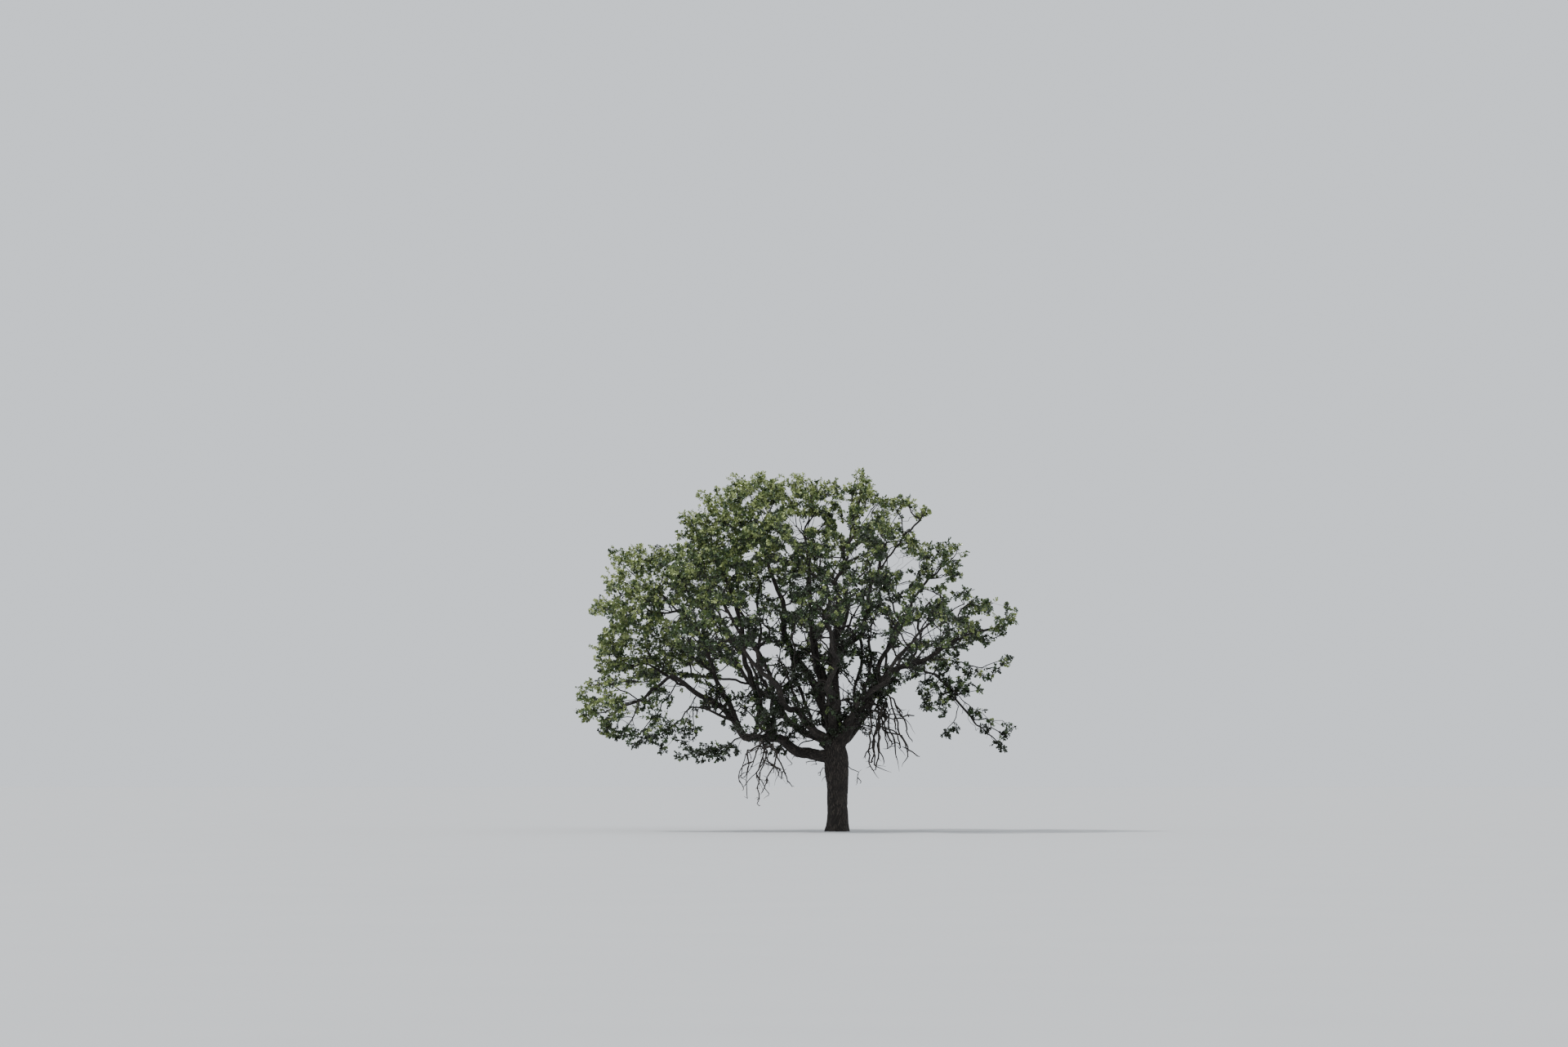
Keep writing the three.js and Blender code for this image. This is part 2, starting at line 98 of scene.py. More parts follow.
# The view: the photograph's framing, from a long lens held at eye height.
view = {
    "imageSize": (1920, 1282),
    "footPixel": (1025.4, 1018),  # middle of the trunk's foot
    "pixelSize": 0.0233,  # metres at the tree
    "lens": 100,
    "sensor": 36,
    "eyeHeight": 1.6,
    "clipEnd": 1500,
}
focalPixels = view["lens"] / view["sensor"] * view["imageSize"][0]
viewDistance = view["pixelSize"] * focalPixels
footDrop = math.atan((view["footPixel"][1] - view["imageSize"][1] / 2) / focalPixels)
eyePlace = (
    (view["imageSize"][0] / 2 - view["footPixel"][0]) * view["pixelSize"],
    -viewDistance,
    view["eyeHeight"],
)
tilt = footDrop - math.atan(view["eyeHeight"] / viewDistance)
bpy.ops.object.camera_add(location=eyePlace, rotation=(math.pi / 2 + tilt, 0, 0))
camera = bpy.context.object
camera.data.lens = view["lens"]
camera.data.sensor_width = view["sensor"]
camera.data.clip_end = view["clipEnd"]
bpy.context.scene.camera = camera


def seenFrom(places):
    # side and height at which the camera sees a place, on the plane through the trunk
    scale = viewDistance / (viewDistance + places[:, 1])
    side = eyePlace[0] + (places[:, 0] - eyePlace[0]) * scale
    height = eyePlace[2] + (places[:, 2] - eyePlace[2]) * scale
    return side, height


# Studio: a pale floor, a pale room, a key light high on the left and a broad soft one in front.
studio = {
    "floorSize": 900,
    "floorShades": ("#b5b6b7", "#babbbb"),
    "floorMottle": {"Scale": 0.4, "Detail": 3.0},
    "floorRoughness": 0.9,
    "roomColour": "#dfe4ea",
    "roomStrength": 1.22,
    "lampDistance": 30,
    "lights": {  # direction that it comes from, width in degrees, strength
        "key": ((-0.8, -0.08, 1.15), 6, 3.3),
        "fill": ((0.2, -1, 0.9), 30, 0.5),
    },
}
bpy.ops.mesh.primitive_plane_add(size=studio["floorSize"], location=(0, 0, 0))
floor = bpy.context.object
floor.name = "floor"
# matt floor paint: no gloss, a faint mottle
floorPaint, tree = newMaterial("mattFloorPaint", studio["floorShades"][1])
coordinates = addNode(tree, "ShaderNodeTexCoord")
mottle = addNode(
    tree, "ShaderNodeTexNoise", studio["floorMottle"], {"Vector": coordinates.outputs["Object"]},
)
shade = addNode(tree, "ShaderNodeValToRGB", links={"Fac": mottle.outputs["Fac"]})
for stop, shadeColour in zip(shade.color_ramp.elements, studio["floorShades"]):
    stop.color = fromHex(shadeColour)
paint = addNode(
    tree, "ShaderNodeBsdfPrincipled", {"Roughness": studio["floorRoughness"]},
    {"Base Color": shade.outputs["Color"]},
)
addNode(tree, "ShaderNodeOutputMaterial", links={"Surface": paint.outputs["BSDF"]})
floor.data.materials.append(floorPaint)
room = bpy.data.worlds.new("paleRoom")
room.use_nodes = True
room.node_tree.nodes["Background"].inputs["Color"].default_value = fromHex(studio["roomColour"])
room.node_tree.nodes["Background"].inputs["Strength"].default_value = studio["roomStrength"]
bpy.context.scene.world = room
for name, (direction, width, strength) in studio["lights"].items():
    bpy.ops.object.light_add(type="SUN", location=Vector(direction) * studio["lampDistance"])
    lamp = bpy.context.object
    lamp.name = name
    lamp.data.angle = math.radians(width)
    lamp.data.energy = strength
    lamp.rotation_euler = (-Vector(direction)).to_track_quat("-Z", "Y").to_euler()
bpy.ops.object.select_all(action="DESELECT")
print("view and studio ready")


# Limbs: the same courses as the part's source, from the same seed.
trunkForm = {
    "course": [(0, 0, 0), (0, 0, 0.9), (-0.03, 0.01, 2), (-0.105, 0.02, 3.3), (-0.13, 0, 5.2)],
    "radii": [  # height, radius
        (0, 0.352), (0.32, 0.316), (1.2, 0.298), (2, 0.345), (2.7, 0.262), (3.6, 0.205), (5.2, 0.12),
    ],
    "buttresses": 5,
    "buttressDepth": 0.1,  # share of the radius, at the foot
    "buttressHeight": 0.42,
}
# name: (parent, height on the trunk or share of the way along a bough, tip, slopes in degrees, radii)
boughRows = {
    "low_left": ("trunk", 2.08, (-4.75, -0.25, 4.45), (2, 34), (0.172, 0.06)),
    "left_rising": ("low_left", 0.56, (-4.55, 0.05, 6.3), (62, 48), (0.084, 0.045)),
    "left_fringe": ("low_left", 0.6, (-4.15, -1.15, 3.52), (14, -8), (0.052, 0.028)),
    "low_fringe": ("low_left", 0.26, (-2.6, -1.85, 2.76), (12, -6), (0.054, 0.028)),
    "upper_left": ("low_left", 0.36, (-3.2, 0.25, 7.25), (60, 72), (0.108, 0.05)),
    "top_left": ("trunk", 2.85, (-2.15, -0.15, 8.05), (58, 74), (0.138, 0.05)),
    "top_middle": ("trunk", 3.65, (-0.88, 0.2, 8.15), (66, 82), (0.112, 0.05)),
    "leader": ("trunk", 5.06, (0.15, -0.15, 8.1), (84, 78), (0.104, 0.048)),
    "top_right": ("trunk", 4.75, (1.25, 0.15, 7.95), (48, 76), (0.092, 0.046)),
    "right": ("trunk", 2.22, (3.25, -0.05, 5.38), (66, 22), (0.168, 0.054)),
    "right_rising": ("right", 0.36, (2.15, 0.35, 6.65), (66, 70), (0.092, 0.045)),
    "right_drooping": ("right", 0.68, (3.35, -0.7, 3.78), (4, -58), (0.05, 0.026)),
    "front_left": ("trunk", 2.48, (-2.7, -2.8, 5.15), (28, 46), (0.132, 0.052)),
    "front_left_rising": ("front_left", 0.52, (-3.25, -1.75, 6.45), (64, 52), (0.072, 0.042)),
    "front": ("trunk", 2.7, (-0.25, -3.4, 5.7), (40, 44), (0.122, 0.05)),
    "front_upper": ("trunk", 4.15, (-0.35, -1.85, 7), (50, 66), (0.092, 0.046)),
    "front_right": ("trunk", 2.56, (1.9, -2.55, 5.15), (46, 42), (0.118, 0.048)),
    "back_left": ("trunk", 2.33, (-2.85, 2.65, 4.85), (22, 44), (0.132, 0.052)),
    "back_left_rising": ("back_left", 0.5, (-2.9, 1.85, 6.55), (64, 64), (0.076, 0.042)),
    "back": ("trunk", 2.62, (-0.7, 3.55, 5.3), (36, 42), (0.122, 0.05)),
    "back_upper": ("trunk", 4, (0.25, 1.95, 6.95), (50, 66), (0.092, 0.046)),
    "back_right": ("trunk", 2.44, (1.85, 2.6, 4.95), (32, 42), (0.12, 0.048)),
}
boughForm = {
    "bendReach": (0.38, 0.34),  # how far the two end slopes hold, as shares of the span
    "crook": 0.035,  # sideways wander, as a share of the span
    "collar": 0.3,  # widening where it leaves its parent
    "knots": 7,  # of its course, both ends counted
    "taperPower": 0.8,
    "collarFade": 9,
    "seed": 7,
    "kinkSeed": 3,
    "kinkStep": 0.26,
    "kinkFade": 0.4,  # metres at both ends that stay straight
    "kinkDepth": 0.3,  # share of the radius
}
courseSamples = 201  # places along the course of each limb


def seededRandom(seed):
    state = [seed]

    def nextNumber():
        state[0] = (1664525 * state[0] + 1013904223) % 4294967296
        return state[0] / 4294967296

    return nextNumber


def splineThrough(points):
    # a centripetal Catmull-Rom curve, its place given by a share from 0 to 1
    points = np.asarray(points, float)
    last = len(points) - 1
    padded = np.vstack([2 * points[0] - points[1], points, 2 * points[-1] - points[-2]])

    def placeAt(shares):
        steps = np.asarray(shares) * last
        first = np.minimum(steps.astype(int), last - 1)
        w = (steps - first)[:, None]
        p0, p1, p2, p3 = (padded[first + k] for k in range(4))
        pairs = ((p0, p1), (p1, p2), (p2, p3))
        d0, d1, d2 = (np.linalg.norm(b - a, axis=1)[:, None] ** 0.5 for a, b in pairs)
        t1 = ((p1 - p0) / d0 - (p2 - p0) / (d0 + d1) + (p2 - p1) / d1) * d1
        t2 = ((p2 - p1) / d1 - (p3 - p1) / (d1 + d2) + (p3 - p2) / d2) * d1
        return p1 + t1 * w + (-3 * p1 + 3 * p2 - 2 * t1 - t2) * w ** 2 + (2 * p1 - 2 * p2 + t1 + t2) * w ** 3

    return placeAt


def lengthsAlong(points):
    steps = np.linalg.norm(np.diff(points, axis=0), axis=1)
    return np.concatenate([[0], np.cumsum(steps)])


def evenlySpaced(placeAt, count):
    shares = np.linspace(0, 1, courseSamples)
    lengths = lengthsAlong(placeAt(shares))
    return placeAt(np.interp(np.linspace(0, lengths[-1], count), lengths, shares))


def alongCourse(course, share):
    steps = np.linspace(0, 1, len(course))
    return np.array([np.interp(share, steps, course[:, axis]) for axis in range(3)])


def unit(vector):
    return vector / np.maximum(np.linalg.norm(vector, axis=-1, keepdims=True), 1e-9)


def growTrunk():
    course = evenlySpaced(splineThrough(trunkForm["course"]), courseSamples)
    profile = evenlySpaced(splineThrough(trunkForm["radii"]), courseSamples)
    return {"course": course, "radius": np.interp(course[:, 2], profile[:, 0], profile[:, 1])}


def growBough(row, limbs, random):
    parent, at, tip, slopes, radii = row
    course = limbs[parent]["course"]
    share = np.interp(at, course[:, 2], np.linspace(0, 1, courseSamples)) if parent == "trunk" else at
    start, tip = alongCourse(course, share), np.array(tip)
    span = np.linalg.norm(tip - start)
    level = unit((tip - start) * (1, 1, 0))
    leave, arrive = (level * math.cos(a) + np.array((0, 0, math.sin(a))) for a in map(math.radians, slopes))
    holds = boughForm["bendReach"]
    bow = np.array([start, start + leave * span * holds[0], tip - arrive * span * holds[1], tip])

    def bowAt(shares):
        t = np.asarray(shares)[:, None]
        weights = ((1 - t) ** 3, 3 * (1 - t) ** 2 * t, 3 * (1 - t) * t ** 2, t ** 3)
        return sum(weight * knot for weight, knot in zip(weights, bow))

    points = evenlySpaced(bowAt, boughForm["knots"])
    for point in points[1:-1]:
        point += [(random() - 0.5) * 2 * boughForm["crook"] * span for axis in range(3)]
    shares = np.linspace(0, 1, courseSamples)
    taper = radii[0] + (radii[1] - radii[0]) * shares ** boughForm["taperPower"]
    radius = taper * (1 + boughForm["collar"] * np.exp(-shares * boughForm["collarFade"]))
    return {"course": evenlySpaced(splineThrough(points), courseSamples), "radius": radius}


def kink(limb, random):
    # short bends on the way, which fade out at both ends
    along = lengthsAlong(limb["course"])
    fade = np.clip(np.minimum(along, along[-1] - along) / boughForm["kinkFade"], 0, 1)[:, None]
    knots = np.arange(0, along[-1] + boughForm["kinkStep"], boughForm["kinkStep"])
    sway = np.column_stack([np.interp(along, knots, random.normal(size=len(knots))) for axis in range(3)])
    limb["course"] = limb["course"] + sway * fade * boughForm["kinkDepth"] * limb["radius"][:, None]


limbs = {"trunk": growTrunk()}
boughRandom = seededRandom(boughForm["seed"])
for name, row in boughRows.items():
    limbs[name] = growBough(row, limbs, boughRandom)
kinkRandom = np.random.default_rng(boughForm["kinkSeed"])
for name in boughRows:
    kink(limbs[name], kinkRandom)
print("limb courses ready:", len(limbs))


# Bark: one skin over the trunk and all boughs, grown together at the forks, with furrows along each limb.
bark = {
    "voxel": 0.0145,
    "mostTriangles": 190000,
    "lumps": 0.03,  # slow swellings, as a share of the radius
    "plateLevel": 0.75,  # relief that leaves the skin where it is
    "lowPlate": 0.7,  # the lowest plates against the highest
    "depthRadius": 0.35,  # radius at which the furrows have their full depth
    "depthPower": 0.75,
    "tubeStep": 4,  # samples of a course from ring to ring of its tube
    "nearStep": 3,  # samples from place to place that the skin is matched to
    "ridgeWidth": 0.05,  # from furrow to furrow
    "plateLength": 0.24,
    "furrowWidth": 0.42,  # share of a plate that its rounded edges take
    "furrowDepth": 0.02,  # on the trunk's foot
    "gridRadii": (0.3, 0.1),  # radius that sets how many plates go round the trunk, and round a bough
    "fewestPlates": 5,
    "tubeRoundness": 5,
    "belowFoot": 0.2,  # how far under the foot the trunk's tube starts, before it is cut off there
    "smoothing": {"factor": 0.5, "iterations": 11},
    "footHeight": 0.02,  # below this, what faces down is the flat foot
    "footFacing": -0.7,
    "batch": 4000,  # points that are matched to the limbs at a time
}


def limbTube(name, course, radii):
    bpy.ops.curve.primitive_bezier_curve_add(location=(0, 0, 0))
    tube = bpy.context.object
    tube.name = name
    tube.data.splines.clear()
    spline = tube.data.splines.new("POLY")
    spline.points.add(len(course) - 1)
    spline.points.foreach_set("co", np.column_stack([course, np.ones(len(course))]).ravel())
    spline.points.foreach_set("radius", np.asarray(radii, float))
    tube.data.dimensions = "3D"
    tube.data.bevel_depth = 1
    tube.data.bevel_resolution = bark["tubeRoundness"]
    tube.data.use_fill_caps = True
    bpy.ops.object.convert(target="MESH")
    return bpy.context.object


def meshPlaces(mesh):
    flat = np.empty(len(mesh.vertices) * 3, np.float32)
    mesh.vertices.foreach_get("co", flat)
    return flat.reshape(-1, 3).astype(float)


def limbPlaces(points):
    # for each point: the limb it is on, the length along it, the angle round it and the limb's radius there
    samples, sides, ups, radii, along, owners = [], [], [], [], [], []
    for index, limb in enumerate(limbs.values()):
        course = limb["course"][::bark["nearStep"]]
        heading = unit(np.gradient(course, axis=0))
        reference = np.array((0.0, 1.0, 0.0))
        side = unit(reference - heading * (heading @ reference)[:, None])
        samples.append(course)
        sides.append(side)
        ups.append(np.cross(heading, side))
        radii.append(limb["radius"][::bark["nearStep"]])
        along.append(lengthsAlong(course))
        owners.append(np.full(len(course), index))
    samples, sides, ups = (np.vstack(rows) for rows in (samples, sides, ups))
    radii, along, owners = (np.concatenate(rows) for rows in (radii, along, owners))
    nearest = np.empty(len(points), int)
    for first in range(0, len(points), bark["batch"]):
        part = points[first:first + bark["batch"]]
        gaps = (part ** 2).sum(1)[:, None] + (samples ** 2).sum(1) - 2 * part @ samples.T
        nearest[first:first + len(part)] = (np.sqrt(np.maximum(gaps, 0)) - radii).argmin(1)
    offset = points - samples[nearest]
    angle = np.arctan2((offset * ups[nearest]).sum(1), (offset * sides[nearest]).sum(1))
    heading = np.cross(sides[nearest], ups[nearest])
    return owners[nearest], along[nearest] + (offset * heading).sum(1), angle, radii[nearest]


def furrowRelief(owner, along, angle, radius):
    # 0 in the furrows between the plates of a jittered grid that is wrapped round each limb, 1 on the plates
    shift = owner * 2.399
    girth = 2 * np.pi * np.where(owner == 0, *bark["gridRadii"])
    count = np.maximum(bark["fewestPlates"], np.round(girth / bark["ridgeWidth"]))
    wander = (
        0.5 * np.sin(2.3 * along + 3 * angle + shift)
        + 0.35 * np.sin(9.1 * along - 2 * angle + 1.7 * shift)
        + 0.3 * np.sin(23.3 * along + 5 * angle + 2.3 * shift)
    )
    across = count * angle / (2 * np.pi) + wander
    up = along / bark["plateLength"] + shift + 0.3 * np.sin(7 * angle + 3 * along)
    column, row = np.floor(across), np.floor(up)
    nearest, second, high = (np.full(len(up), value) for value in (9.0, 9.0, 0))
    for i in (-1, 0, 1):
        for j in (-1, 0, 1):
            cell = np.mod(column + i, count) * 127.1 + (row + j) * 311.7 + owner * 74.7
            jitter = [np.sin(cell * k) * 43758.5 % 1 for k in (1, 1.37)]
            gap = np.hypot(column + i + jitter[0] - across, row + j + jitter[1] - up)
            second = np.where(gap < nearest, nearest, np.minimum(second, gap))
            high = np.where(gap < nearest, jitter[0], high)
            nearest = np.minimum(nearest, gap)
    rise = np.clip((second - nearest) / bark["furrowWidth"], 0, 1)
    depth = bark["furrowDepth"] * (radius / bark["depthRadius"]) ** bark["depthPower"]
    low = bark["lowPlate"]
    return rise * rise * (3 - 2 * rise) * (low + (1 - low) * high), depth


def applyModifier(piece, kind, settings):
    bpy.ops.object.modifier_add(type=kind)
    modifier = piece.modifiers[-1]
    for name, value in settings.items():
        setattr(modifier, name, value)
    bpy.ops.object.modifier_apply(modifier=modifier.name)


def setPlaces(mesh, places):
    # places under the foot are lifted to its level; says how many triangles the mesh has
    places[:, 2] = np.maximum(places[:, 2], 0)
    mesh.vertices.foreach_set("co", places.astype(np.float32).ravel())
    mesh.update()
    mesh.calc_loop_triangles()
    return len(mesh.loop_triangles)


def makeBark():
    tubes = []
    for name, limb in limbs.items():
        course, radii = (limb[key][::bark["tubeStep"]] for key in ("course", "radius"))
        if name == "trunk":
            course = np.vstack([course[0] - (0, 0, bark["belowFoot"]), course])
            radii = np.concatenate([radii[:1], radii])
        tubes.append(limbTube(name + "Tube", course, radii))
    bpy.ops.object.select_all(action="DESELECT")
    for tube in tubes:
        tube.select_set(True)
    bpy.context.view_layer.objects.active = tubes[0]
    bpy.ops.object.join()
    skin = bpy.context.object
    skin.name = "bark_skin"
    applyModifier(skin, "REMESH", {"mode": "VOXEL", "voxel_size": bark["voxel"]})
    bpy.ops.object.mode_set(mode="EDIT")
    bpy.ops.mesh.select_all(action="SELECT")
    bpy.ops.mesh.bisect(plane_co=(0, 0, 0), plane_no=(0, 0, 1), clear_inner=True, use_fill=True)
    bpy.ops.object.mode_set(mode="OBJECT")
    applyModifier(skin, "SMOOTH", bark["smoothing"])
    places = meshPlaces(skin.data)
    normals = np.empty(len(places) * 3, np.float32)
    skin.data.vertex_normals.foreach_get("vector", normals)
    normals = normals.reshape(-1, 3)
    owner, along, angle, radius = limbPlaces(places)
    relief, depth = furrowRelief(owner, along, angle, radius)
    lump = np.sin(3.1 * along + 2 * angle + owner) + 0.7 * np.sin(7.3 * along - 3 * angle + 2 * owner)
    ribAngle = np.arctan2(places[:, 0], places[:, 1])
    ribs = np.exp(-places[:, 2] / trunkForm["buttressHeight"]) * np.cos(trunkForm["buttresses"] * ribAngle)
    push = (relief - bark["plateLevel"]) * depth + bark["lumps"] * radius * lump
    push += np.where(owner == 0, trunkForm["buttressDepth"] * radius * ribs, 0)
    push[(places[:, 2] < bark["footHeight"]) & (normals[:, 2] < bark["footFacing"])] = 0
    triangles = setPlaces(skin.data, places + normals * push[:, None])
    applyModifier(skin, "DECIMATE", {"ratio": min(1, bark["mostTriangles"] / triangles)})
    bpy.ops.object.shade_smooth()
    places = meshPlaces(skin.data)
    kept = setPlaces(skin.data, places)
    owner, along, angle, radius = limbPlaces(places)
    relief, depth = furrowRelief(owner, along, angle, radius)
    rolled = np.column_stack([np.cos(angle) * radius, np.sin(angle) * radius, along + owner * 3.7])
    for name, kind, field, values in (
        ("furrow", "FLOAT", "value", relief), ("grain", "FLOAT_VECTOR", "vector", rolled),
    ):
        attribute = skin.data.attributes.new(name, kind, "POINT")
        attribute.data.foreach_set(field, values.astype(np.float32).ravel())
    bpy.ops.object.select_all(action="DESELECT")
    print("bark skin ready:", triangles, "triangles, thinned to", kept)
    return skin


barkSkin = makeBark()


# Masses: each fills its own ellipsoid up to flat borders with its neighbours, as in the part's source.
# name: (bough, share of the way along it, middle, half sizes, fullness of its foliage)
massRows = {
    "low_left_tip": ("low_left", 1, (-6.05, -0.2, 3.68), (1.42, 1.3, 1.05), 0.95),
    "left_lower": ("low_left", 0.84, (-5.7, 0.75, 5.2), (1.42, 1.45, 1), 1.05),
    "left_middle": ("left_rising", 1, (-5.55, -0.6, 6.35), (1.38, 1.45, 0.95), 0.95),
    "left_shoulder": ("left_rising", 0.84, (-5.35, 0.35, 7.3), (1.28, 1.4, 0.92), 0.9),
    "upper_left": ("upper_left", 1, (-3.3, 0.35, 8.3), (1.16, 1.65, 1.36), 1.45),
    "top_left": ("top_left", 1, (-2.35, -0.45, 8.98), (1.3, 1.6, 1.16), 1.35),
    "top_middle": ("top_middle", 1, (-1, 0.45, 9.05), (1.2, 1.55, 1.1), 0.95),
    "top": ("leader", 1, (0.8, -0.35, 9), (0.78, 1.1, 0.95), 0.8),
    "top_sprig": ("leader", 0.84, (0.7, 0.6, 9.9), (0.4, 0.46, 0.7), 0),
    "top_right": ("top_right", 1, (1.5, 0.35, 8.7), (0.98, 1.4, 0.98), 0.6),
    "right_peak": ("top_right", 0.84, (2.2, -0.35, 8.95), (0.5, 0.6, 0.48), 0.4),
    "right_shoulder": ("right_rising", 1, (2.8, 0.35, 7.65), (0.85, 1.2, 0.82), 0.6),
    "right_tip": ("right", 1, (4.05, 0, 5.95), (1.08, 1.15, 0.8), 0.6),
    "right_sprig": ("right", 0.84, (4.3, -0.3, 4.7), (0.66, 0.5, 0.42), 0),
    "right_low": ("right_drooping", 1, (2.75, -0.85, 4.15), (0.95, 0.85, 0.68), 0.6),
    "right_lowest": ("right_drooping", 0.84, (4.15, -0.8, 2.92), (1, 0.6, 0.72), 0),
    "left_fringe": ("left_fringe", 1, (-4.95, -1.6, 2.8), (1, 0.85, 0.42), 0),
    "low_fringe": ("low_fringe", 1, (-3.62, -2.35, 2.22), (1.05, 0.7, 0.36), 0),
    "fork_sprouts": ("low_fringe", 0.5, (-1.78, -1.4, 3.2), (0.62, 0.65, 0.5), 1),
    "front_left": ("front_left", 1, (-3.25, -3.6, 5.75), (1.55, 1.5, 1.1), 0.7),
    "front_left_upper": ("front_left_rising", 1, (-3.7, -2.05, 7.15), (1.4, 1.5, 1.05), 0.9),
    "front": ("front", 1, (-0.45, -4.1, 6.3), (1.55, 1.4, 1.05), 0.6),
    "front_upper": ("front_upper", 1, (-1.5, -2.45, 7.95), (1.55, 1.5, 1.1), 0.9),
    "front_right_upper": ("front_upper", 0.84, (1, -2.2, 7.75), (1.3, 1.4, 1.05), 0.6),
    "front_right": ("front_right", 1, (2.25, -3.15, 5.75), (1.35, 1.4, 1), 0.38),
    "right_front": ("front_right", 0.84, (2.95, -1.5, 6.45), (0.9, 1, 0.8), 0.4),
    "back_left": ("back_left", 1, (-3.55, 3.45, 5.5), (1.55, 1.5, 1.2), 0.7),
    "left_back": ("back_left", 0.84, (-4.8, 2, 4.85), (1.2, 1.2, 0.9), 0.75),
    "back_left_upper": ("back_left_rising", 1, (-3.5, 2.3, 7.25), (1.45, 1.5, 1.15), 0.9),
    "back": ("back", 1, (-0.8, 4.4, 6.05), (1.6, 1.45, 1.25), 0.6),
    "back_upper": ("back_upper", 1, (-0.8, 2.55, 8), (1.55, 1.5, 1.15), 0.8),
    "back_right_upper": ("back_upper", 0.84, (1.5, 2.35, 7.5), (1.3, 1.4, 1.1), 0.55),
    "back_right": ("back_right", 1, (2.3, 3.4, 5.6), (1.4, 1.4, 1.15), 0.4),
    "right_back": ("back_right", 0.84, (3.25, 1.7, 6), (1, 1.1, 0.85), 0.45),
}
# Sprays that stand or hang apart in the photograph: mass: (side, height, radius) of each.
tufts = {
    "upper_left": [(-3.82, 9.55, 0.2), (-4.3, 8.95, 0.24), (-3.45, 9.68, 0.2), (-4.45, 8.4, 0.2)],
    "top_left": [
        (-2.9, 10, 0.22), (-2.3, 10.05, 0.22), (-1.75, 9.95, 0.24), (-2.25, 7.35, 0.3),
        (-2.4, 6.85, 0.3), (-2.1, 6.55, 0.26),
    ],
    "top_middle": [
        (-1.12, 10.1, 0.22), (-0.55, 9.95, 0.24), (-0.1, 9.98, 0.2), (-1.5, 9.85, 0.22),
        (0.12, 9.7, 0.2),
    ],
    "left_middle": [(-5.8, 6.15, 0.3), (-5.95, 6.45, 0.24), (-5.4, 6.3, 0.24)],
    "left_shoulder": [(-6.3, 7.95, 0.24), (-5.75, 8.05, 0.2), (-4.95, 7.85, 0.2)],
    "front_right_upper": [(1.25, 6.75, 0.28), (1.7, 6.6, 0.26), (1.55, 7.1, 0.22)],
    "top": [(0.6, 9.72, 0.2), (0.95, 9.55, 0.2)],
    "right_tip": [(5, 6.25, 0.14), (4.8, 6.42, 0.14), (4.72, 5.68, 0.14)],
    "low_left_tip": [
        (-7.4, 3.42, 0.13), (-7.22, 3.22, 0.1), (-6.45, 2.8, 0.26), (-6.65, 2.95, 0.18),
    ],
    "top_sprig": [
        (0.62, 10.3, 0.16), (0.72, 10.05, 0.2), (0.5, 9.85, 0.2), (0.85, 9.75, 0.2),
        (0.62, 9.5, 0.22),
    ],
    "right_sprig": [
        (4.74, 4.8, 0.15), (4.88, 4.92, 0.1), (4.52, 4.62, 0.12), (4.3, 4.36, 0.14),
        (4.02, 4.5, 0.12), (3.72, 4.52, 0.12),
    ],
    "right_low": [
        (3.3, 4.75, 0.2), (3.62, 4.62, 0.16), (2.95, 4.66, 0.18), (3.4, 5.05, 0.14),
        (2.64, 3.56, 0.24), (3, 3.38, 0.15), (3.33, 2.92, 0.11), (3.05, 2.76, 0.14),
        (3.98, 4.02, 0.13), (3.65, 3.96, 0.11), (3.2, 4.05, 0.2),
    ],
    "right_lowest": [
        (4.02, 3.32, 0.19), (3.75, 3.42, 0.12), (4.3, 3.1, 0.14), (4.16, 2.88, 0.12),
        (4.86, 2.88, 0.19), (4.68, 2.72, 0.12), (4.52, 2.54, 0.16), (4.62, 2.32, 0.13),
    ],
    "left_fringe": [
        (-5.78, 2.5, 0.16), (-5.5, 2.58, 0.2), (-5.2, 2.72, 0.24), (-4.92, 2.9, 0.24),
        (-4.6, 2.98, 0.26), (-4.3, 2.98, 0.22), (-4.05, 2.9, 0.18), (-4.62, 2.72, 0.2),
        (-4.95, 2.3, 0.12), (-4.25, 2.72, 0.22), (-5.05, 2.6, 0.2),
    ],
    "low_fringe": [
        (-4.42, 2.1, 0.16), (-4.25, 2.32, 0.2), (-4, 2.24, 0.2), (-3.7, 2.32, 0.22),
        (-3.4, 2.34, 0.2), (-3.12, 2.34, 0.2), (-2.92, 2.95, 0.15), (-2.62, 2.88, 0.15),
        (-3.85, 2.12, 0.2), (-3.5, 2.16, 0.22), (-3.2, 2.18, 0.2), (-2.88, 2.3, 0.18),
    ],
}
deadRows = {
    "dead_twigs_left": ("low_fringe", 0.68, (-2.05, -2, 1.75), (0.8, 0.6, 0.88), 0),
    "dead_twigs_right": ("right", 0.4, (1.5, -0.5, 2.55), (0.75, 0.6, 1), 0),
}
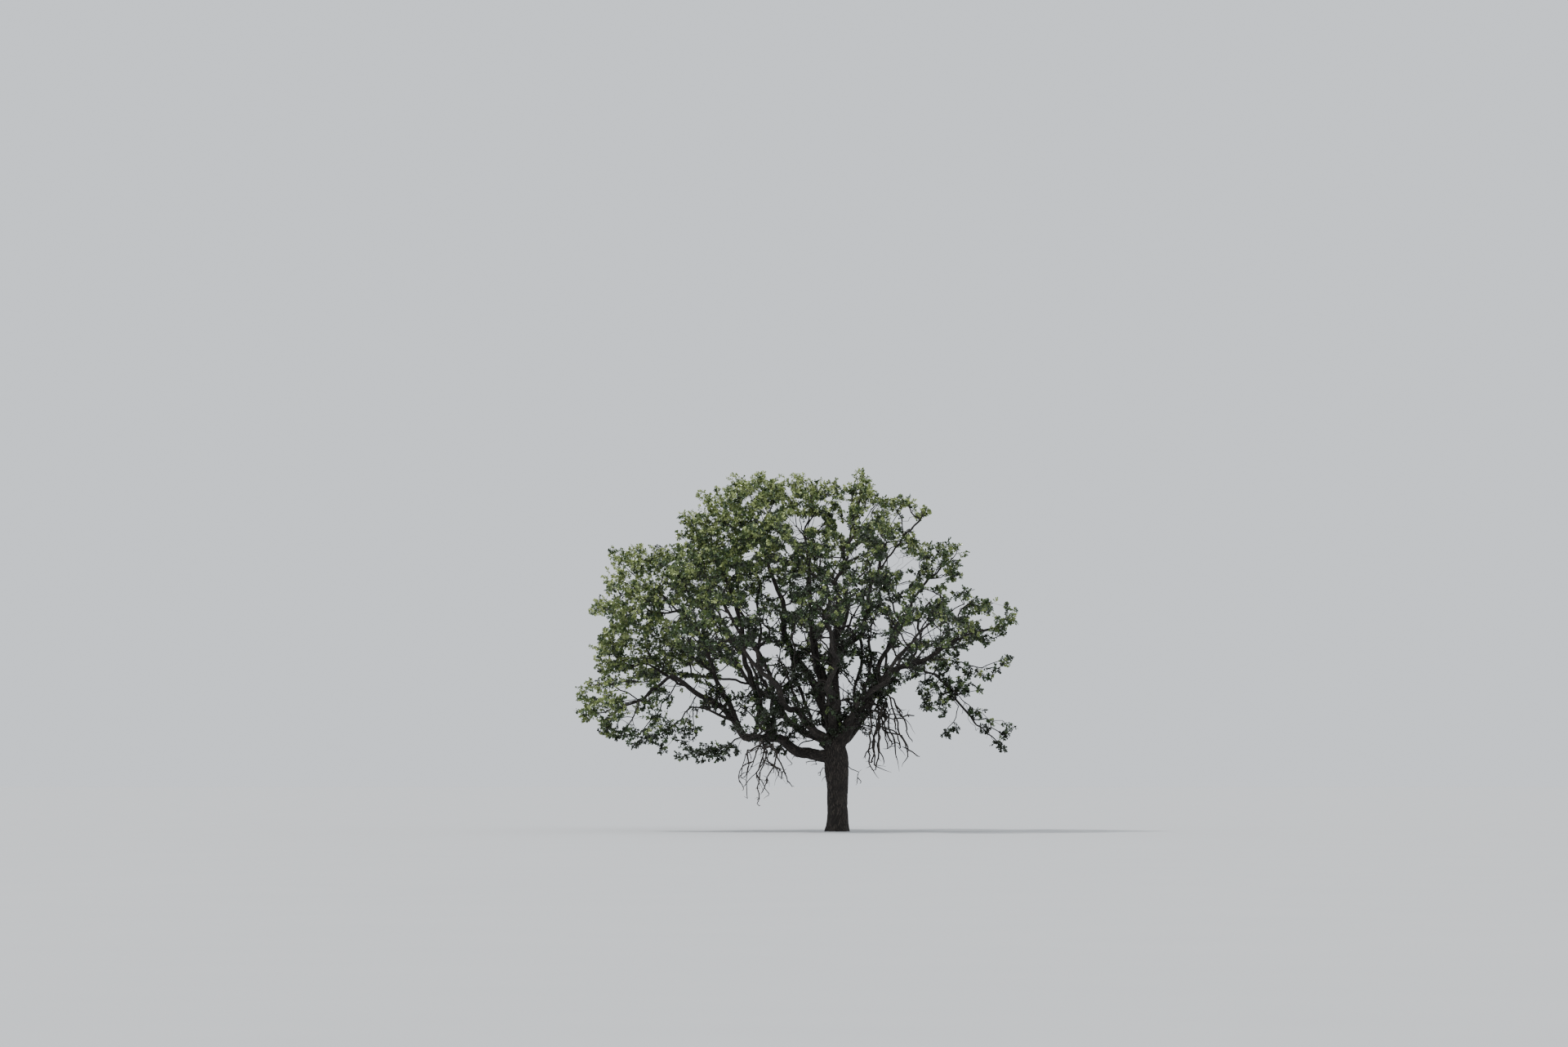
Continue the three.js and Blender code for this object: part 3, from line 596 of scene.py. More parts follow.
# Long dead twigs as they hang in the photograph, each from its root: (side, height) of its bends.
hangingRows = {
    "dead_twigs_left": [
        [(-2.19, 2.45), (-2.37, 1.99), (-2.72, 1.8), (-2.78, 1.43), (-2.65, 1.2)],
        [(-2, 2.3), (-2.19, 1.71), (-2.28, 1.25), (-2.22, 0.95), (-2.28, 0.8)],
        [(-1.77, 2.3), (-1.77, 1.99), (-2, 1.53), (-2.14, 1.12)],
        [(-1.73, 2.2), (-1.54, 1.71), (-1.44, 1.45), (-1.3, 1.28)],
        [(-2.55, 2.3), (-2.5, 1.9), (-2.58, 1.4), (-2.54, 0.95)],
        [(-2.1, 2.35), (-1.95, 1.95), (-1.72, 1.8), (-1.66, 1.55)],
    ],
    "dead_twigs_right": [
        [(1.49, 3.8), (1.63, 3.27), (1.77, 2.72), (1.95, 2.35), (2.3, 2.12)],
        [(1.4, 3.7), (1.45, 3.09), (1.63, 2.54), (1.66, 2.15), (1.76, 1.7)],
        [(1.13, 3.6), (1.22, 3), (1.13, 2.45), (1.16, 2.1), (1.08, 1.75)],
        [(0.96, 3.4), (0.95, 2.9), (0.86, 2.3), (0.92, 1.85), (1.17, 1.5)],
        [(1.59, 3.75), (1.84, 3.25), (1.98, 3.3), (2.04, 3.46)],
        [(1.31, 3.6), (1.36, 2.9), (1.5, 2.3)],
        [(1.25, 3.5), (1.02, 2.7), (1.04, 2.2), (0.95, 1.95)],
    ],
}
# Live twigs that droop or reach out in the photograph, in the same form.
liveRows = {
    "right_lowest": [
        [(3.3, 3.95), (3.6, 3.65), (3.95, 3.42), (4.4, 3.12), (4.82, 2.92)],
        [(3.6, 3.65), (3.68, 3.2), (3.92, 2.85)],
        [(4.2, 3.2), (4.28, 2.8), (4.6, 2.38)],
    ],
    "right_low": [
        [(3.2, 3.95), (3.42, 3.55), (3.28, 3.1), (3.05, 2.8)],
        [(2.3, 4.1), (2.45, 3.75), (2.75, 3.45), (3, 3.35)],
    ],
    "right_sprig": [
        [(3.55, 4.52), (3.95, 4.42), (4.3, 4.4), (4.6, 4.66), (4.84, 4.9)],
    ],
    "left_fringe": [
        [(-4.15, 3.2), (-4.7, 2.9), (-5.2, 2.66), (-5.75, 2.48)],
        [(-4.5, 2.95), (-4.6, 2.65), (-4.95, 2.3)],
    ],
    "low_fringe": [
        [(-2.7, 2.62), (-3.2, 2.38), (-3.7, 2.3), (-4.1, 2.2), (-4.42, 2.06)],
        [(-2.5, 2.7), (-2.9, 2.92)],
    ],
}
growth = {
    "limbGap": 0.012,
    "spaceGap": 0.008,
    "stemShare": 0.8,  # radius of a mass's stem against the tip of its bough
    "sideStemShare": 0.65,
    "stemShort": 0.35,  # how far short of the heart of its mass a stem ends
    "heartLift": -0.25,
    "deadHeartLift": 0.6,
    "stemJoints": (0.3, 0.65, 1),  # shares of the way from the border of its space to its end
    "entrySteps": 40,
    "deadStemTimes": 2,  # thicker in the bunches of dead twigs
    "firstCandidates": 14,  # places that are drawn for each first twig
    "firstInnermost": 0.25,  # share of the space that stays empty, in its middle
    "firstRounds": 3,
    "firstSeeds": (101, 17),  # of the first mass, and from mass to mass
    "firstTwigRadius": 0.013,
    "twigReach": 0.68,
    "deadTwigReach": 0.98,
    "deadTwigCount": 16,
    "deadTries": (0.2, 260),  # share that stays empty, places drawn
    "moreDeadTwigs": 25,
    "pathPull": 0.4,  # how much a short way back to the bough counts when a twig picks its fork
    "firstTwigs": 140,  # in the whole crown, before the finer ones
    "clumps": 820,  # in the whole crown
    "clumpRadius": (0.16, 0.38),
    "clumpFlatness": 0.8,
    "clumpReach": 0.88,
    "clumpTries": (0.12, 60),  # share that stays empty, places drawn
    "clumpRoom": 0.7,  # clumps further apart than this don't push one another away
    "clumpWidest": 0.55,  # against the least half size of its mass
    "outwardPull": 0.3,
    "twigsPerClump": 22,
    "fewestTwigs": 7,
    "twigSpacing": 0.085,
    "twigTries": 4,
    "tuftFullness": 1.25,
    "tuftDepth": 0.4,  # share of its mass's half depth
    "joinTries": 12,  # forks that a twig tries, nearest first
    "boughRoots": (0.5, 0.62, 0.74, 0.86, 0.95),  # where side branches may leave the bough of a mass
    "deadRoots": (0.3, 0.36, 0.42, 0.48, 0.54),  # and where dead twigs may
    "finestRadius": 0.0048,
    "hangingSpurs": {True: 14, False: 4},  # on each dead twig, and on each live one
    "hangingDepth": {True: 0.8, False: 0.25},  # how far to the front and back they spread
    "hangingWander": 0.06,
    "spurReach": (0.06, 0.24),
    "spurLean": ((1, 1, 0.6), (0, 0, -0.5)),  # mostly level or down
    "seed": 900,
}
# Openings right through the crown in the photograph: side, height, half width, half height.
crownWindows = [
    (-4.5, 4.2, 0.65, 0.2), (-4.05, 4.6, 0.35, 0.16), (-3.4, 3.25, 0.4, 0.2),
    (-5.85, 3.1, 0.55, 0.26), (1.95, 3.75, 0.5, 0.22), (1.95, 8.95, 0.22, 0.3),
    (-4.75, 6.25, 0.3, 0.22), (-3.1, 6.25, 0.4, 0.22), (-2.8, 5.75, 0.3, 0.16),
    (0.45, 6.25, 0.22, 0.34), (-0.95, 8.78, 0.66, 0.24), (0.25, 9.3, 0.15, 0.42),
    (0.1, 8.6, 0.2, 0.15), (1.9, 7.65, 0.5, 0.3), (2.75, 6.75, 0.4, 0.16), (-2.55, 4.55, 0.2, 0.25),
    (1.7, 5.1, 0.35, 0.16), (-1.1, 8.4, 0.3, 0.2), (2.75, 7.1, 0.4, 0.16), (-0.3, 5.5, 0.2, 0.45),
    (2.35, 5.7, 0.6, 0.32), (-2.3, 5.1, 0.35, 0.25), (-1.85, 4.65, 0.14, 0.2),
    (-3.2, 4.6, 0.3, 0.2), (2.4, 8.55, 0.34, 0.28), (-3.45, 2.85, 0.42, 0.2),
]


def spaceOf(row, rows):
    middle, half = np.array(row[2]), np.array(row[3])
    weight = half.mean() ** 2
    others = [other for other in rows if other is not row]
    middles = np.array([other[2] for other in others])
    weights = np.array([np.mean(other[3]) ** 2 for other in others])
    borders = 2 * growth["spaceGap"] * np.linalg.norm(middles - middle, axis=1)

    def inSpace(points):
        points = np.atleast_2d(points)
        own = ((points - middle) ** 2).sum(1) - weight
        others = ((points[:, None] - middles) ** 2).sum(2) - weights
        inside = (((points - middle) / half) ** 2).sum(1) <= 1
        return inside & (own[:, None] + borders < others).all(1)

    return inSpace


def stretchGaps(start, end, starts, ends):
    # least distances between one straight stretch and many
    first, others, between = end - start, ends - starts, start - starts
    a, e = first @ first, np.maximum((others ** 2).sum(1), 1e-12)
    b, c, f = others @ first, between @ first, (others * between).sum(1)
    s = np.clip((b * f - c * e) / np.maximum(a * e - b * b, 1e-12), 0, 1)
    t = (b * s + f) / e
    s = np.where(t < 0, np.clip(-c / a, 0, 1), np.where(t > 1, np.clip((b - c) / a, 0, 1), s))
    t = np.clip(t, 0, 1)
    return np.linalg.norm(between + first * s[:, None] - others * t[:, None], axis=1)


def makeStem(name, row, rows):
    boughName, at, middle, half, fullness = row
    dead = name in deadRows
    bough = limbs[boughName]
    radius = (growth["sideStemShare"] if at < 1 else growth["stemShare"]) * bough["radius"][-1]
    start = alongCourse(bough["course"], at)
    if at == 1:
        start = start - unit(bough["course"][-1] - bough["course"][-2]) * radius
    inSpace = spaceOf(row, rows)
    heart = np.array(middle) + (0, 0, (growth["deadHeartLift"] if dead else growth["heartLift"]) * half[2])
    steps = start + (heart - start) * np.linspace(0, 1, growth["entrySteps"], endpoint=False)[:, None]
    entry = steps[inSpace(steps).argmax()]
    end = heart + (entry - heart) * growth["stemShort"]
    joints = [entry + (end - entry) * share for share in growth["stemJoints"]]
    size = float(np.prod(half)) ** (1 / 3)
    return {
        "name": name, "dead": dead, "bough": bough, "at": at, "fullness": fullness,
        "middle": np.array(middle), "half": np.array(half), "size": size, "inSpace": inSpace,
        "radius": radius * (growth["deadStemTimes"] if dead else 1),
        "start": start, "end": end, "joints": joints,
    }


def newForks(places, stem):
    # a tree of forks, each with its place, its parent's number and the length of the way back
    return {
        "place": list(places), "parent": [-1] * len(places), "path": [0] * len(places),
        "ends": [], "leafy": {}, "stem": stem,
    }


def nearestFirst(places, origin):
    # origin: one place, or the many places of a course
    return sorted(places, key=lambda place: np.linalg.norm(origin - place, axis=-1).min())


def randomPlaces(middle, half, innermost, count, random):
    # places in an ellipsoid, of which the innermost share stays empty
    far = (innermost + (1 - innermost) * random.random(count)) ** (1 / 3)
    return middle + unit(random.normal(size=(count, 3))) * far[:, None] * half


def addFork(forks, place, parent, isEnd=False):
    forks["place"].append(place)
    forks["parent"].append(parent)
    forks["path"].append(forks["path"][parent] + np.linalg.norm(forks["place"][parent] - place))
    if isEnd:
        forks["ends"].append(len(forks["place"]) - 1)
    return len(forks["place"]) - 1


def addRoot(forks, place):
    forks["place"].append(place)
    forks["parent"].append(-1)
    forks["path"].append(0)


def joinEnd(forks, end, firstFork, isEnd=True, isClear=None):
    places = np.array(forks["place"][firstFork:])
    ways = np.linalg.norm(places - end, axis=1) + growth["pathPull"] * np.array(forks["path"][firstFork:])
    choices = ways.argsort(kind="stable")[:growth["joinTries"]] if isClear else [ways.argmin()]
    for choice in choices:
        if isClear is None or isClear(places[choice], end):
            return addFork(forks, end, firstFork + int(choice), isEnd)


def growFirstTwigs(stem, count, isClear, random):
    # the twigs of the part's source, from the same seeds
    forks = newForks([stem["start"]], stem)
    for place in stem["joints"]:
        addFork(forks, place, len(forks["place"]) - 1)
    reach = growth["deadTwigReach"] if stem["dead"] else growth["twigReach"]
    innermost = growth["firstInnermost"]
    ends = []
    for tries in range(count * growth["firstRounds"]):
        if len(ends) == count:
            break
        candidates = []
        for candidate in range(growth["firstCandidates"]):
            rise, turn = random() * 2 - 1, random() * 2 * math.pi
            level = math.sqrt(1 - rise * rise)
            direction = np.array((level * math.cos(turn), level * math.sin(turn), rise))
            far = reach * (innermost + (1 - innermost) * random()) ** (1 / 3)
            candidates.append(stem["middle"] + direction * far * stem["half"])
        candidates = np.array(candidates)
        candidates = candidates[stem["inSpace"](candidates)]
        if len(candidates) == 0:
            continue
        if ends:
            room = np.linalg.norm(candidates[:, None] - np.array(ends), axis=2).min(1)
            ends.append(candidates[room.argmax()])
        else:
            ends.append(candidates[0])
    for end in nearestFirst(ends, stem["start"]):
        joinEnd(forks, end, 1, stem["dead"], isClear)
    return forks


def forkLoads(forks):
    # how many ends each fork carries
    loads = np.zeros(len(forks["place"]))
    loads[forks["ends"]] = 1
    for index in range(len(loads) - 1, -1, -1):
        if forks["parent"][index] >= 0:
            loads[forks["parent"][index]] += loads[index]
    return loads


def twigRows(forks, loads):
    # rows of forks that each make one bent twig: the heaviest twig at a fork carries the row on
    onward = {}
    for index, parent in enumerate(forks["parent"]):
        if parent >= 0 and loads[index] > 0:
            onward.setdefault(parent, []).append(index)
    rows = []
    starts = [[index] for index, parent in enumerate(forks["parent"]) if parent < 0]
    while starts:
        row = starts.pop()
        while row[-1] in onward:
            nextOnes = sorted(onward[row[-1]], key=lambda index: -loads[index])
            starts.extend([row[-1], side] for side in nextOnes[1:])
            row.append(nextOnes[0])
        if len(row) > 1:
            rows.append(row)
    return rows


def placeClumps(stem, count, taken, random):
    # middles of the small clumps of leaves in a mass, well apart and mostly towards the outside of the crown
    for number in range(count):
        reach = stem["half"] * growth["clumpReach"]
        candidates = randomPlaces(stem["middle"], reach, *growth["clumpTries"], random)
        candidates = candidates[stem["inSpace"](candidates)]
        if len(candidates) == 0:
            continue
        room = np.full(len(candidates), growth["clumpRoom"])
        if taken:
            room = np.minimum(room, np.linalg.norm(candidates[:, None] - np.array(taken), axis=2).min(1))
        outness = np.linalg.norm((candidates - crown["heart"]) / crown["half"], axis=1)
        taken.append(candidates[(room + growth["outwardPull"] * outness).argmax()])


# Small gaps all over the crown, from two crossed waves, and how ragged the rims of the windows are.
smallGaps = {"level": 1.1, "denseLevel": 1.6, "denseSide": -2.8, "ragged": 0.3}


def inWindow(points):
    side, height = seenFrom(points)
    ragged = smallGaps["ragged"] * (np.sin(9 * side + 5 * height) + np.sin(13 * height - 8 * side))
    waves = np.sin(6.3 * side + 2.1 * np.sin(3.7 * height)) + np.sin(7.9 * height + 2.3 * np.sin(4.3 * side))
    # fewer gaps where the crown is densest
    hidden = waves > np.where(side < smallGaps["denseSide"], smallGaps["denseLevel"], smallGaps["level"])
    for x, z, halfWide, halfHigh in crownWindows:
        hidden |= ((side - x) / halfWide) ** 2 + ((height - z) / halfHigh) ** 2 < 1 + ragged
    return hidden


def leaning(lean, random):
    # a random direction, squeezed and then pulled one way
    squeeze, pull = lean
    return unit(random.normal(size=3) * squeeze + pull)


def growHanging(forks, rows, random):
    # the long twigs of the photograph, each with short spurs by the same rule as all twigs
    stem = forks["stem"]
    depthShare, wander = growth["hangingDepth"][stem["dead"]], growth["hangingWander"]
    for row in rows:
        depth = stem["middle"][1] + random.uniform(-1, 1) * stem["half"][1] * depthShare
        places = [np.array((x, depth + random.uniform(-wander, wander), z)) for x, z in row]
        number = joinEnd(forks, places[0], 1, False)
        first = number
        for place in places[1:]:
            number = addFork(forks, place, number, place is places[-1])
        for spur in range(growth["hangingSpurs"][stem["dead"]]):
            part = random.integers(1, len(places))
            near = places[part - 1] + (places[part] - places[part - 1]) * random.random()
            away = leaning(growth["spurLean"], random)
            joinEnd(forks, near + away * random.uniform(*growth["spurReach"]), first)


def fillClump(middle, radius, isTuft, random):
    # ends of the finest twigs in a clump; a tuft has its own place in the photograph, and no window cuts it
    fullness = (radius / growth["clumpRadius"][1]) ** 2
    count = max(growth["fewestTwigs"], round(growth["twigsPerClump"] * fullness))
    half = radius * np.array((1, 1, growth["clumpFlatness"]))
    places = randomPlaces(middle, half, 0, count * growth["twigTries"], random)
    if not isTuft:
        places = places[~inWindow(places)]
    kept = []
    for place in places:
        if len(kept) == count:
            break
        if not kept or np.linalg.norm(np.array(kept) - place, axis=1).min() > growth["twigSpacing"]:
            kept.append(place)
    return nearestFirst(kept, middle)


crown = {"heart": np.array((-1, 0, 5)), "half": np.array((6, 5, 5))}
allRows = {**massRows, **deadRows}
stems = [makeStem(name, row, list(allRows.values())) for name, row in allRows.items()]
courses = [limb["course"] for limb in limbs.values()]
stretch = 14  # samples of a course that count as one straight stretch
stretchStarts = np.vstack([course[:-1:stretch] for course in courses] + [stem["start"] for stem in stems])
stretchEnds = [np.vstack([course[stretch:-1:stretch], course[-1:]]) for course in courses]
stretchEnds = np.vstack(stretchEnds + [stem["end"] for stem in stems])
stretchRadii = [limb["radius"][:-1:stretch] for limb in limbs.values()]
stretchRadii = np.concatenate(stretchRadii + [[stem["radius"]] for stem in stems])
crownSize = sum(stem["size"] ** 2 for stem in stems if not stem["dead"])
fullSize = sum(stem["size"] ** 2 * stem["fullness"] for stem in stems)


def clearOf(stem, radius):
    others = np.ones(len(stretchRadii), bool)
    others[len(stretchRadii) - len(stems) + stems.index(stem)] = False

    def isClear(start, end):
        gaps = stretchGaps(start, end, stretchStarts[others], stretchEnds[others])
        return bool((gaps > stretchRadii[others] + radius + growth["limbGap"]).all())

    return isClear


def growMasses():
    trees, taken = [], []
    firstSeed, seedStep = growth["firstSeeds"]
    for number, stem in enumerate(stems):
        fine = np.random.default_rng(growth["seed"] + number)
        share = stem["size"] ** 2 / crownSize
        count = growth["deadTwigCount"] if stem["dead"] else max(3, round(growth["firstTwigs"] * share))
        isClear = clearOf(stem, growth["firstTwigRadius"] * 2)
        forks = growFirstTwigs(stem, count, isClear, seededRandom(firstSeed + number * seedStep))
        if stem["dead"]:
            for share in growth["deadRoots"]:
                addRoot(forks, alongCourse(stem["bough"]["course"], share))
            reach = stem["half"] * growth["deadTwigReach"]
            ends = randomPlaces(stem["middle"], reach, *growth["deadTries"], fine)
            ends = ends[stem["inSpace"](ends)][:growth["moreDeadTwigs"]]
            for end in nearestFirst(ends, stem["start"]):
                joinEnd(forks, end, 1, True, isClear)
            growHanging(forks, hangingRows[stem["name"]], fine)
            trees.append(forks)
            continue
        for share in growth["boughRoots"]:
            addRoot(forks, alongCourse(stem["bough"]["course"], share * stem["at"]))
        growHanging(forks, liveRows.get(stem["name"], []), fine)
        firstTaken = len(taken)
        share = stem["size"] ** 2 * stem["fullness"] / fullSize
        placeClumps(stem, round(growth["clumps"] * share), taken, fine)
        widest = growth["clumpWidest"] * stem["half"].min()
        clumps = [
            (place, min(widest, fine.uniform(*growth["clumpRadius"])), False) for place in taken[firstTaken:]
        ]
        for x, z, radius in tufts.get(stem["name"], []):
            depth = stem["middle"][1] + fine.uniform(-1, 1) * growth["tuftDepth"] * stem["half"][1]
            clumps.append((np.array((x, depth, z)), radius * growth["tuftFullness"], True))
        clumps.sort(key=lambda clump: np.linalg.norm(clump[0] - stem["start"]))
        for clump in clumps:
            joinEnd(forks, clump[0], 1, False)
        for clump in clumps:
            for end in fillClump(*clump, fine):
                number = joinEnd(forks, end, 1)
                forks["leafy"][number] = True
        trees.append(forks)
    return trees


trees = growMasses()
print("masses grown:", sum(len(forks["ends"]) for forks in trees), "twig ends")


# Inner twigs: crooked side twigs along the boughs, thinly leaved, under and inside the masses.
inner = {
    "rootStep": 0.05,
    "endsPerMetre": 7,
    "span": (0.14, 0.93),  # shares of the bough that carry them
    "reach": (0.25, 0.85),
    "lean": ((1, 1, 0.8), (0, 0, 0.25)),
    "finePerEnd": 5,
    "fineReach": 0.3,
    "fineSpan": (0.4, 1),
    "floor": 2.1,  # no twig end of the boughs under this, and none of the finer ones under the next
    "fineFloor": 2,
    "leafyShare": 0.5,
    "fineLeafyShare": 0.8,  # of the finer twigs on a leafy one
    "radius": 0.034,
    "riserLeafyShare": 0.75,
    "riserBare": 0.8,  # share of the first stretch that bears no sprigs
    "riserWander": 0.06,
    "seed": 40,
}
# Limbs that rise inside the crown: the limb that they leave, depth gained, radius, number of sprigs,
# (side, height) of the bends.
riserRows = [
    ("low_left", -0.7, 0.056, 16, [(-2.28, 3.09), (-2.19, 3.83), (-2.37, 4.56), (-2.65, 5.11), (-2.8, 5.6)]),
    ("low_left", 0.5, 0.056, 26, [
        (-1.82, 3.09), (-1.86, 3.83), (-2.19, 4.38), (-2.28, 5.11), (-2.19, 5.85), (-2.3, 6.6),
        (-2.2, 7.15),
    ]),
    ("low_left", 0.6, 0.046, 12, [(-3.1, 3.7), (-3.47, 4.38), (-3.84, 4.75), (-4.3, 5.11)]),
    ("front_left", 0.5, 0.06, 34, [(-0.75, 3.2), (-0.99, 3.83), (-1.27, 4.56), (-1.36, 5.3), (-1.63, 6.13)]),
    ("front_left", -0.3, 0.045, 30, [(-1.05, 3.3), (-1.3, 4), (-1.2, 4.7), (-1.3, 5.5), (-1.15, 6.2)]),
    ("trunk", -0.8, 0.062, 18, [(-0.4, 3.4), (-0.53, 4.38), (-0.71, 5.11), (-0.8, 5.94), (-0.99, 6.68)]),
    ("trunk", -0.7, 0.056, 16, [(0.02, 4.5), (0.11, 5.3), (0.39, 6.04), (0.67, 6.5), (0.8, 7.1)]),
    ("right", -0.2, 0.046, 14, [(0.45, 3.5), (0.55, 4.3), (0.7, 5.1), (0.62, 5.6)]),
    ("right", -0.6, 0.06, 26, [
        (0.62, 3.4), (0.76, 4.01), (0.94, 4.75), (0.89, 5.48), (1.13, 6.22), (1.2, 6.85),
    ]),
    ("right", 0.6, 0.054, 26, [
        (1.1, 3.95), (1.4, 4.56), (1.45, 5.3), (1.77, 5.94), (1.6, 6.5), (1.7, 7.05),
    ]),
    ("right", -0.4, 0.042, 10, [(2.1, 4.9), (2.35, 5.4), (2.3, 6), (2.6, 6.5)]),
    ("upper_left", -0.5, 0.042, 10, [(-2.9, 5.2), (-3.3, 6), (-3.4, 6.7)]),
    ("left_rising", -0.5, 0.042, 12, [(-3.6, 5.1), (-4.2, 5.6), (-4.9, 6)]),
    ("top_right", 0.3, 0.04, 12, [(0.75, 6.3), (1.35, 6.8), (1.7, 7.5)]),
]


def addSprigs(forks, ends, leafyShare, random):
    # crooked side twigs, each with finer ones that may bear leaves
    for end in ends:
        if inWindow(end[None])[0]:
            continue
        number = joinEnd(forks, end, 0, True)
        leafy = random.random() < leafyShare
        forks["leafy"][number] = leafy
        for child in range(inner["finePerEnd"]):
            away = unit(random.normal(size=3)) * inner["fineReach"]
            place = end + away * random.uniform(*inner["fineSpan"])
            if place[2] < inner["fineFloor"] or inWindow(place[None])[0]:
                continue
            number = joinEnd(forks, place, 0, True)
            forks["leafy"][number] = leafy and random.random() < inner["fineLeafyShare"]


def growInnerTwigs():
    random = np.random.default_rng(inner["seed"])
    grown = []
    for name in boughRows:
        bough = limbs[name]
        shares = np.arange(*inner["span"], inner["rootStep"])
        roots = [alongCourse(bough["course"], share) for share in shares]
        forks = newForks(roots, {"radius": inner["radius"], "middle": crown["heart"], "dead": False})
        length = lengthsAlong(bough["course"])[-1]
        ends = []
        for number in range(round(length * inner["endsPerMetre"])):
            far = random.uniform(*inner["reach"])
            away = leaning(inner["lean"], random)
            ends.append(alongCourse(bough["course"], random.uniform(*inner["span"])) + away * far)
        ends = [end for end in ends if end[2] > inner["floor"]]
        addSprigs(forks, nearestFirst(ends, bough["course"]), inner["leafyShare"], random)
        grown.append(forks)
    return grown


def growRisers():
    random = np.random.default_rng(inner["seed"] + 1)
    grown = []
    for name, gain, radius, sprigs, row in riserRows:
        course = limbs[name]["course"]
        start = course[np.hypot(course[:, 0] - row[0][0], course[:, 2] - row[0][1]).argmin()]
        forks = newForks([start], {"radius": radius, "middle": crown["heart"], "dead": False})
        for step, (x, z) in enumerate(row, 1):
            depth = start[1] + gain * step / len(row) + random.uniform(-1, 1) * inner["riserWander"]
            addFork(forks, np.array((x, depth, z)), step - 1, step == len(row))
        chain = np.array(forks["place"])
        ends = []
        for number in range(sprigs):
            where = random.uniform(inner["riserBare"], len(row))
            here, there = chain[int(where)], chain[min(int(where) + 1, len(row))]
            near = here + (there - here) * (where % 1)
            ends.append(near + unit(random.normal(size=3)) * random.uniform(*inner["reach"]))
        addSprigs(forks, nearestFirst(ends, chain), inner["riserLeafyShare"], random)
        grown.append(forks)
    return grown


innerTrees = growInnerTwigs() + growRisers()
print("inner twigs grown:", sum(len(forks["ends"]) for forks in innerTrees), "twig ends")


# Stray dead twigs low on the trunk: root on the trunk, middle, half sizes.
strayRows = [
    ((0.2, -0.15, 1.92), (0.66, -0.2, 1.55), (0.26, 0.2, 0.34)),
    ((-0.22, -0.15, 1.95), (-0.45, -0.2, 1.6), (0.12, 0.12, 0.3)),
    ((-0.1, -0.25, 2.2), (-0.75, -0.45, 2.0), (0.35, 0.25, 0.25)),
]
strayForm = {"ends": 9, "reach": (0.4, 1), "radius": 0.014, "firstFork": 0.4, "seed": 77}


def growStrays():
    random = np.random.default_rng(strayForm["seed"])
    grown = []
    for root, middle, half in strayRows:
        root, middle, half = (np.array(value) for value in (root, middle, half))
        forks = newForks([root], {"radius": strayForm["radius"], "middle": middle, "dead": True})
        addFork(forks, root + (middle - root) * strayForm["firstFork"], 0)
        away = unit(random.normal(size=(strayForm["ends"], 3)))
        ends = middle + away * half * random.uniform(*strayForm["reach"], (strayForm["ends"], 1))
        for end in nearestFirst(ends, root):
            joinEnd(forks, end, 1)
        grown.append(forks)
    return grown


# Wood of the branches and twigs: bent tubes, crooked as oak is, joined into a few meshes.
wood = {
    "bendStep": 0.28,  # from bend to bend on a long stretch
    "crook": 0.34,  # sideways step at each bend, as a share of the way to the next
    "thickCrook": 0.24,
    "thick": 0.012,  # a row thicker than this is a branch
    "stemThickness": {  # where the photograph shows it thinner or thicker
        "right_sprig": 0.55, "right_lowest": 1.9, "right_low": 1.3, "dead_twigs_left": 1.7,
    },
    "deadWidest": 0.026,
    "deadFinest": 2.8,  # against the finest live twig
    "tipShare": 0.7,  # of the finest radius
    "limbRadius": 0.03,  # a row thicker than this is a limb
    "sides": {"limb": 6, "branch": 5, "twig": 3},
    "straightBelow": 0.08,  # a stretch shorter than this has no bends
    "smoothStep": 0.11,  # from ring to ring on a thick row
    "power": 0.42,  # of the share of twig ends that a twig carries, for its radius
    "sideShare": 0.68,  # radius of a side twig at its root, against the twig that it leaves
    "seed": 5,
}


def tubeShape(points, radii, sides):
    heading = unit(np.gradient(points, axis=0))
    reference = np.eye(3)[np.abs(heading.sum(0)).argmin()]
    side = unit(np.cross(heading, reference))
    up = np.cross(heading, side)
    angles = np.arange(sides) * 2 * np.pi / sides
    rings = side[:, None] * np.cos(angles)[:, None] + up[:, None] * np.sin(angles)[:, None]
    places = (points[:, None] + rings * radii[:, None, None]).reshape(-1, 3)
    count = len(points)
    around = np.arange(sides)
    first = (np.arange(count - 1) * sides)[:, None] + around
    second = (np.arange(count - 1) * sides)[:, None] + (around + 1) % sides
    quads = np.stack([first, second, second + sides, first + sides], axis=2).reshape(-1, 4)
    return places, quads, [around[::-1], around + (count - 1) * sides]


def bentTwig(places, radii, random, thick):
    points, widths = [places[0]], [radii[0]]
    for index in range(1, len(places)):
        start, end = places[index - 1], places[index]
        length = np.linalg.norm(end - start)
        bends = max(1, round(length / wood["bendStep"])) if length > wood["straightBelow"] else 0
        for bend in range(1, bends + 1):
            share = bend / (bends + 1)
            crook = wood["thickCrook" if thick else "crook"]
            sway = unit(random.normal(size=3)) * length / (bends + 1) * crook
            points.append(start + (end - start) * share + sway)
            widths.append(radii[index - 1] + (radii[index] - radii[index - 1]) * share)
        points.append(end)
        widths.append(radii[index])
    points, widths = np.array(points), np.array(widths)
    if not thick:
        return points, widths
    count = max(len(points), int(lengthsAlong(points)[-1] / wood["smoothStep"]))
    shares = np.linspace(0, 1, count)
    return splineThrough(points)(shares), np.interp(shares, np.linspace(0, 1, len(points)), widths)


